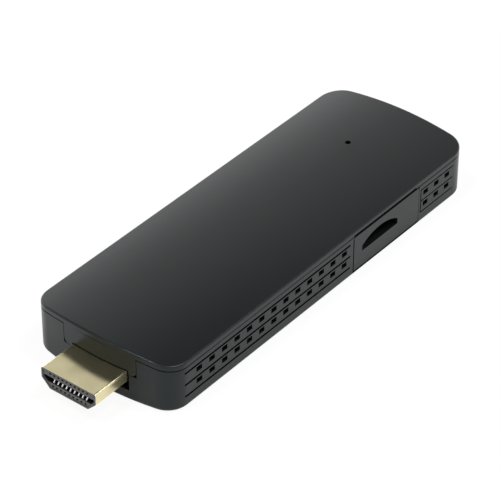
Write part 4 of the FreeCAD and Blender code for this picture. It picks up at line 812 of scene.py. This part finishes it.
boardFinishes = {
    "padSilicone": padFinish(), "tinSheet": tinSheet, "capacitorResin": tantalumFinish(),
    "coilFerrite": ferriteFinish(), "boardLaminate": boardLaminate, "goldContact": goldContact,
    "bypassCeramic": ceramicFinish("bypassCeramic"),
    "antennaCeramic": ceramicFinish("antennaCeramic"),
}
smallParts = {  # low and high corner, rounding, repeats, finish, slot, node
    "thermalPad": ((-15.025, -7.0, 5.5), (-1.025, 7.0, 6.0), 0.14, (),
                   "padSilicone", "pad_silicone", "thermal_pad"),
    "bypassBodies": ((-14.85, -9.03, 4.42), (-14.2, -8.57, 4.88), 0.03,
                     ((6, 2.6, 0.0), (2, 0.0, 17.6)),
                     "bypassCeramic", "capacitor_ceramic", "bypass_capacitors"),
    "bypassEnds": ((-15.025, -9.05, 4.4), (-14.775, -8.55, 4.9), 0.06,
                   ((2, 0.75, 0.0), (6, 2.6, 0.0), (2, 0.0, 17.6)),
                   "tinSheet", "tin_steel", "bypass_capacitors"),
    "tantalumBodies": ((18.47, 1.1, 4.5), (21.73, 3.9, 6.3), 0.16, ((3, 5.0, 0.0),),
                       "capacitorResin", "capacitor_resin", "tantalum_capacitors"),
    "coilFeet": ((13.025, 2.0, 4.4), (16.025, 5.0, 4.75), 0.1, ((2, 0.0, 5.0),),
                 "coilFerrite", "coil_ferrite", "inductors"),
    "crystalBases": ((9.55, 11.25, 4.4), (12.75, 13.75, 4.72), 0.05, ((2, 22.9, -2.5),),
                     "antennaCeramic", "capacitor_ceramic", "crystals"),
    "crystalLids": ((9.7, 11.4, 4.72), (12.6, 13.6, 5.2), 0.14, ((2, 22.9, -2.5),),
                    "tinSheet", "tin_steel", "crystals"),
    "antennaBody": ((48.87, 7.65, 4.4), (50.83, 13.9, 5.58), 0.06, (),
                    "antennaCeramic", "capacitor_ceramic", "antenna"),
    "antennaEnds": ((48.85, 7.25, 4.4), (50.85, 7.75, 5.6), 0.1, ((2, 0.0, 6.55),),
                    "tinSheet", "tin_steel", "antenna"),
    "radioLaminate": ((31.145, -14.58, 4.42), (41.31, -3.22, 5.2), 0.03, (),
                      "boardLaminate", "board_laminate", "radio_board"),
    "radioPads": ((31.125, -13.6, 4.4), (31.6, -13.0, 5.1), 0.03,
                  ((8, 0.0, 1.2), (2, 9.73, 0.0)),
                  "goldContact", "contact_plating", "radio_board"),
}
for name, (low, high, rounding, rows, finish, slotName, node) in smallParts.items():
    piece = repeat(addBlock(name, low, high, rounding), *rows)
    finishPiece(piece, boardFinishes[finish], "stick", slotName, node)

tantalumLead = {
    "width": 2.2, "middle": 2.5, "sheet": 0.1, "count": 3, "pitch": 5.0,
    "near": [(18.55, 5.3), (18.42, 5.3), (18.42, 4.47), (19.1, 4.47)],
    "far": [(21.65, 5.3), (21.78, 5.3), (21.78, 4.47), (21.1, 4.47)],
}
for end in ("near", "far"):
    lead = sweepStrip("tantalumLeads" + end.title(), tantalumLead["width"],
                      tantalumLead["middle"], tantalumLead[end])
    shapeBy(lead, "SOLIDIFY", thickness=tantalumLead["sheet"] * mm, offset=0.0)
    repeat(lead, (tantalumLead["count"], tantalumLead["pitch"], 0.0))
    finishPiece(lead, tinSheet, "stick", "tin_steel", "tantalum_capacitors")

coil = {
    "middle": (14.525, 3.5), "pair": (2, 0.0, 5.0), "edge": 0.06,
    "rolls": {"coilCores": (1.0, 4.75, 5.45, 32), "coilCaps": (1.45, 5.42, 5.8, 8)},
    "wire": 0.1, "wireReach": 1.12, "turns": 4, "firstTurn": 4.86, "turnStep": 0.17,
}


def addCoilRoll(name, radius, low, high, vertices):  # a core or its cap, on both feet
    freshSelection()
    x, y = coil["middle"]
    bpy.ops.mesh.primitive_cylinder_add(vertices=vertices, radius=radius * mm,
                                        depth=(high - low) * mm,
                                        location=(x * mm, y * mm, (low + high) / 2 * mm))
    piece = bpy.context.object
    piece.name = name
    bpy.ops.object.transform_apply(location=True, rotation=True, scale=True)
    pick(piece, lambda spot, run: abs(run.z) < nearby, "EDGE")
    bpy.ops.mesh.bevel(offset=coil["edge"] * mm, segments=2, affect="EDGES")
    bpy.ops.object.mode_set(mode="OBJECT")
    finishPiece(repeat(piece, coil["pair"]), boardFinishes["coilFerrite"], "stick",
                "coil_ferrite", "inductors")


def makeWindings():
    x, y = coil["middle"]
    freshSelection()
    bpy.ops.mesh.primitive_torus_add(
        major_radius=coil["wireReach"] * mm, minor_radius=coil["wire"] * mm,
        major_segments=32, minor_segments=8, location=(x * mm, y * mm, coil["firstTurn"] * mm))
    piece = bpy.context.object
    piece.name = "coilWindings"
    bpy.ops.object.transform_apply(location=True, rotation=True, scale=True)
    shapeBy(piece, "ARRAY", count=coil["turns"], use_relative_offset=False,
            use_constant_offset=True, constant_offset_displace=(0.0, 0.0, coil["turnStep"] * mm))
    finishPiece(repeat(piece, coil["pair"]), sheetMetalFinish("windingCopper"), "stick",
                "coil_ferrite", "inductors", sharp=60.0)


for rollName, rollValues in coil["rolls"].items():
    addCoilRoll(rollName, *rollValues)
makeWindings()
print("small parts done")


# card spring

cardSpring = {"wire": 0.055, "radius": 0.34, "turns": 9, "steps": 20, "wireSides": 10,
              "centre": (29.17, 5.35), "ends": (-6.3, -2.9)}


def makeCardSpring():
    look = cardSpring
    low, high = (end * mm for end in look["ends"])
    wire = look["wire"] * mm
    freshSelection()
    bpy.ops.mesh.primitive_circle_add(vertices=look["wireSides"], radius=wire, fill_type="NOTHING",
                                      location=(look["radius"] * mm, 0.0, 0.0),
                                      rotation=(math.radians(90), 0.0, 0.0))
    piece = bpy.context.object
    piece.name = "cardSpringCoil"
    bpy.ops.object.transform_apply(location=True, rotation=True, scale=True)
    rise = (high - low - 2 * wire) / look["turns"]
    shapeBy(piece, "SCREW", axis="Z", angle=math.tau, screw_offset=rise,
            iterations=look["turns"], steps=look["steps"], render_steps=look["steps"],
            use_merge_vertices=False)
    bpy.ops.object.mode_set(mode="EDIT")
    bpy.ops.mesh.select_all(action="SELECT")
    bpy.ops.mesh.remove_doubles(threshold=0.0001 * mm)
    bpy.ops.mesh.fill_holes(sides=12)  # closes the two cut ends
    bpy.ops.mesh.normals_make_consistent(inside=False)
    bpy.ops.object.mode_set(mode="OBJECT")
    piece.rotation_euler = (math.radians(-90), 0.0, 0.0)
    piece.location = (look["centre"][0] * mm, low + wire, look["centre"][1] * mm)
    finishPiece(piece, sheetMetalFinish("springWire"), "stick", "spring_wire", "card_spring",
                sharp=60.0)
    return piece


springCoil = makeCardSpring()
pushed = jointTravel("card_push") / ((cardSpring["ends"][1] - cardSpring["ends"][0]) * mm)
1.0 - pushed
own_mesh(springCoil)
print("card spring done")


# studio

studio = {
    "floorSize": 8.0, "floorHeight": -0.02 * mm, "floorColour": 0.93, "floorSpread": 0.01,
    "floorGlow": 0.92, "floorShine": 0.4,  # to the camera, and to what mirrors it
    "roomLevel": 0.6, "backHeading": (0.66, 0.75), "backEdge": (0.2, 0.55),
    "room": [(0.0, 1.0), (39.0, 1.0), (46.0, 0.06), (90.0, 0.06)],  # elevation, level
    "back": [(0.0, 3.0), (22.0, 2.4), (28.0, 0.3), (34.0, 0.5), (40.0, 1.5), (44.5, 0.02)],
    "lampDistance": 1.1,
    "lamps": {  # heading and height in degrees, size in metres, power in watts
        "keyLamp": (-22.0, 55.0, 0.4, 2.0),
        "frontLamp": (-114.0, 67.0, 0.2, 5.5),
        "topLamp": (30.0, 67.0, 0.2, 4.5),
        "farLamp": (60.0, 54.0, 0.25, 1.0),
    },
}


def aimFrom(angle, distance, target=(0.0, 0.0, 0.0)):  # a place and a turn that looks back
    across, up = (math.radians(turn) for turn in angle)
    away = Vector((math.sin(across) * math.cos(up), -math.cos(across) * math.cos(up),
                   math.sin(up)))
    return Vector(target) + away * distance, (-away).to_track_quat("-Z", "Y")


def addLamp(name, heading, height, size, power):
    data = bpy.data.lights.new(name, "AREA")
    data.shape = "SQUARE"
    data.size = size
    data.energy = power
    lamp = bpy.data.objects.new(name, data)
    lamp.location, turn = aimFrom((heading, height), studio["lampDistance"])
    lamp.rotation_mode = "QUATERNION"
    lamp.rotation_quaternion = turn
    bpy.context.collection.objects.link(lamp)


def addFloor():
    freshSelection()
    bpy.ops.mesh.primitive_plane_add(size=studio["floorSize"],
                                     location=(0.0, 0.0, studio["floorHeight"]))
    floor = bpy.context.object
    floor.name = "studioFloor"
    finish = Finish("floorPaper", roughness=0.9, specular=0.1)
    level, spread = studio["floorColour"], studio["floorSpread"]
    finish.feed(colour=finish.mixColour(finish.noise(3.0), grey(level - spread),
                                        grey(level + spread)))
    glow = finish.add("ShaderNodeEmission", inputs={"Color": grey(1.0), "Strength": 1.0})
    direct, mirrored = finish.rays()
    paper = Value(finish.tree, finish.shader.outputs[0])
    both = finish.add("ShaderNodeMixShader", inputs={
        0: direct * studio["floorGlow"] + mirrored * studio["floorShine"], 1: paper, 2: glow})
    below = finish.add("ShaderNodeNewGeometry", output="Backfacing")  # no floor from below
    shown = finish.add("ShaderNodeMixShader", inputs={
        0: below, 1: both, 2: finish.add("ShaderNodeBsdfTransparent")})
    finish.tree.links.new(shown.socket, finish.target.inputs[0])
    floor.data.materials.append(finish.material)


def addWorld():
    world = bpy.data.worlds.new("studioRoom")
    bpy.context.scene.world = world
    world.use_nodes = True
    room = Nodes(world.node_tree)
    east, north, up = room.axes(room.add("ShaderNodeTexCoord", output=0))
    towards = east * studio["backHeading"][0] + north * studio["backHeading"][1]
    behind = room.add("ShaderNodeMapRange", {"interpolation_type": "SMOOTHSTEP"}, {
        "Value": towards, "From Min": studio["backEdge"][0], "From Max": studio["backEdge"][1]})
    ceiling = room.mixed(behind, room.elevationLevel(up, studio["room"]),
                         room.elevationLevel(up, studio["back"]))
    direct, mirrored = room.rays()
    soft = (1.0 - direct - mirrored).clamped()
    strength = direct + ceiling * (mirrored + soft * studio["roomLevel"])
    background = room.add("ShaderNodeBackground", inputs={
        "Color": (1.0, 1.0, 1.0, 1.0), "Strength": strength})
    target = room.tree.nodes.new("ShaderNodeOutputWorld")
    room.tree.links.new(background.socket, target.inputs[0])


photoView = {"target": (2.95, 0.7, 4.05), "angle": (-51.413, 36.92), "distance": 521.6,
             "roll": 0.125, "lens": 181.8, "sensor": 36.0, "clip": (0.01, 20.0)}


def addCamera():
    view = photoView
    data = bpy.data.cameras.new("photoCamera")
    data.lens = view["lens"]
    data.sensor_width = view["sensor"]
    data.clip_start, data.clip_end = view["clip"]
    camera = bpy.data.objects.new("photoCamera", data)
    target = [side * mm for side in view["target"]]
    camera.location, turn = aimFrom(view["angle"], view["distance"] * mm, target)
    camera.rotation_mode = "QUATERNION"
    roll = Matrix.Rotation(math.radians(view["roll"]), 4, "Z").to_quaternion()
    camera.rotation_quaternion = turn @ roll
    bpy.context.collection.objects.link(camera)
    bpy.context.scene.camera = camera


addFloor()
addWorld()
for lampName, lampValues in studio["lamps"].items():
    addLamp(lampName, *lampValues)
addCamera()
bpy.context.scene.view_settings.view_transform = "Standard"
print("studio done")
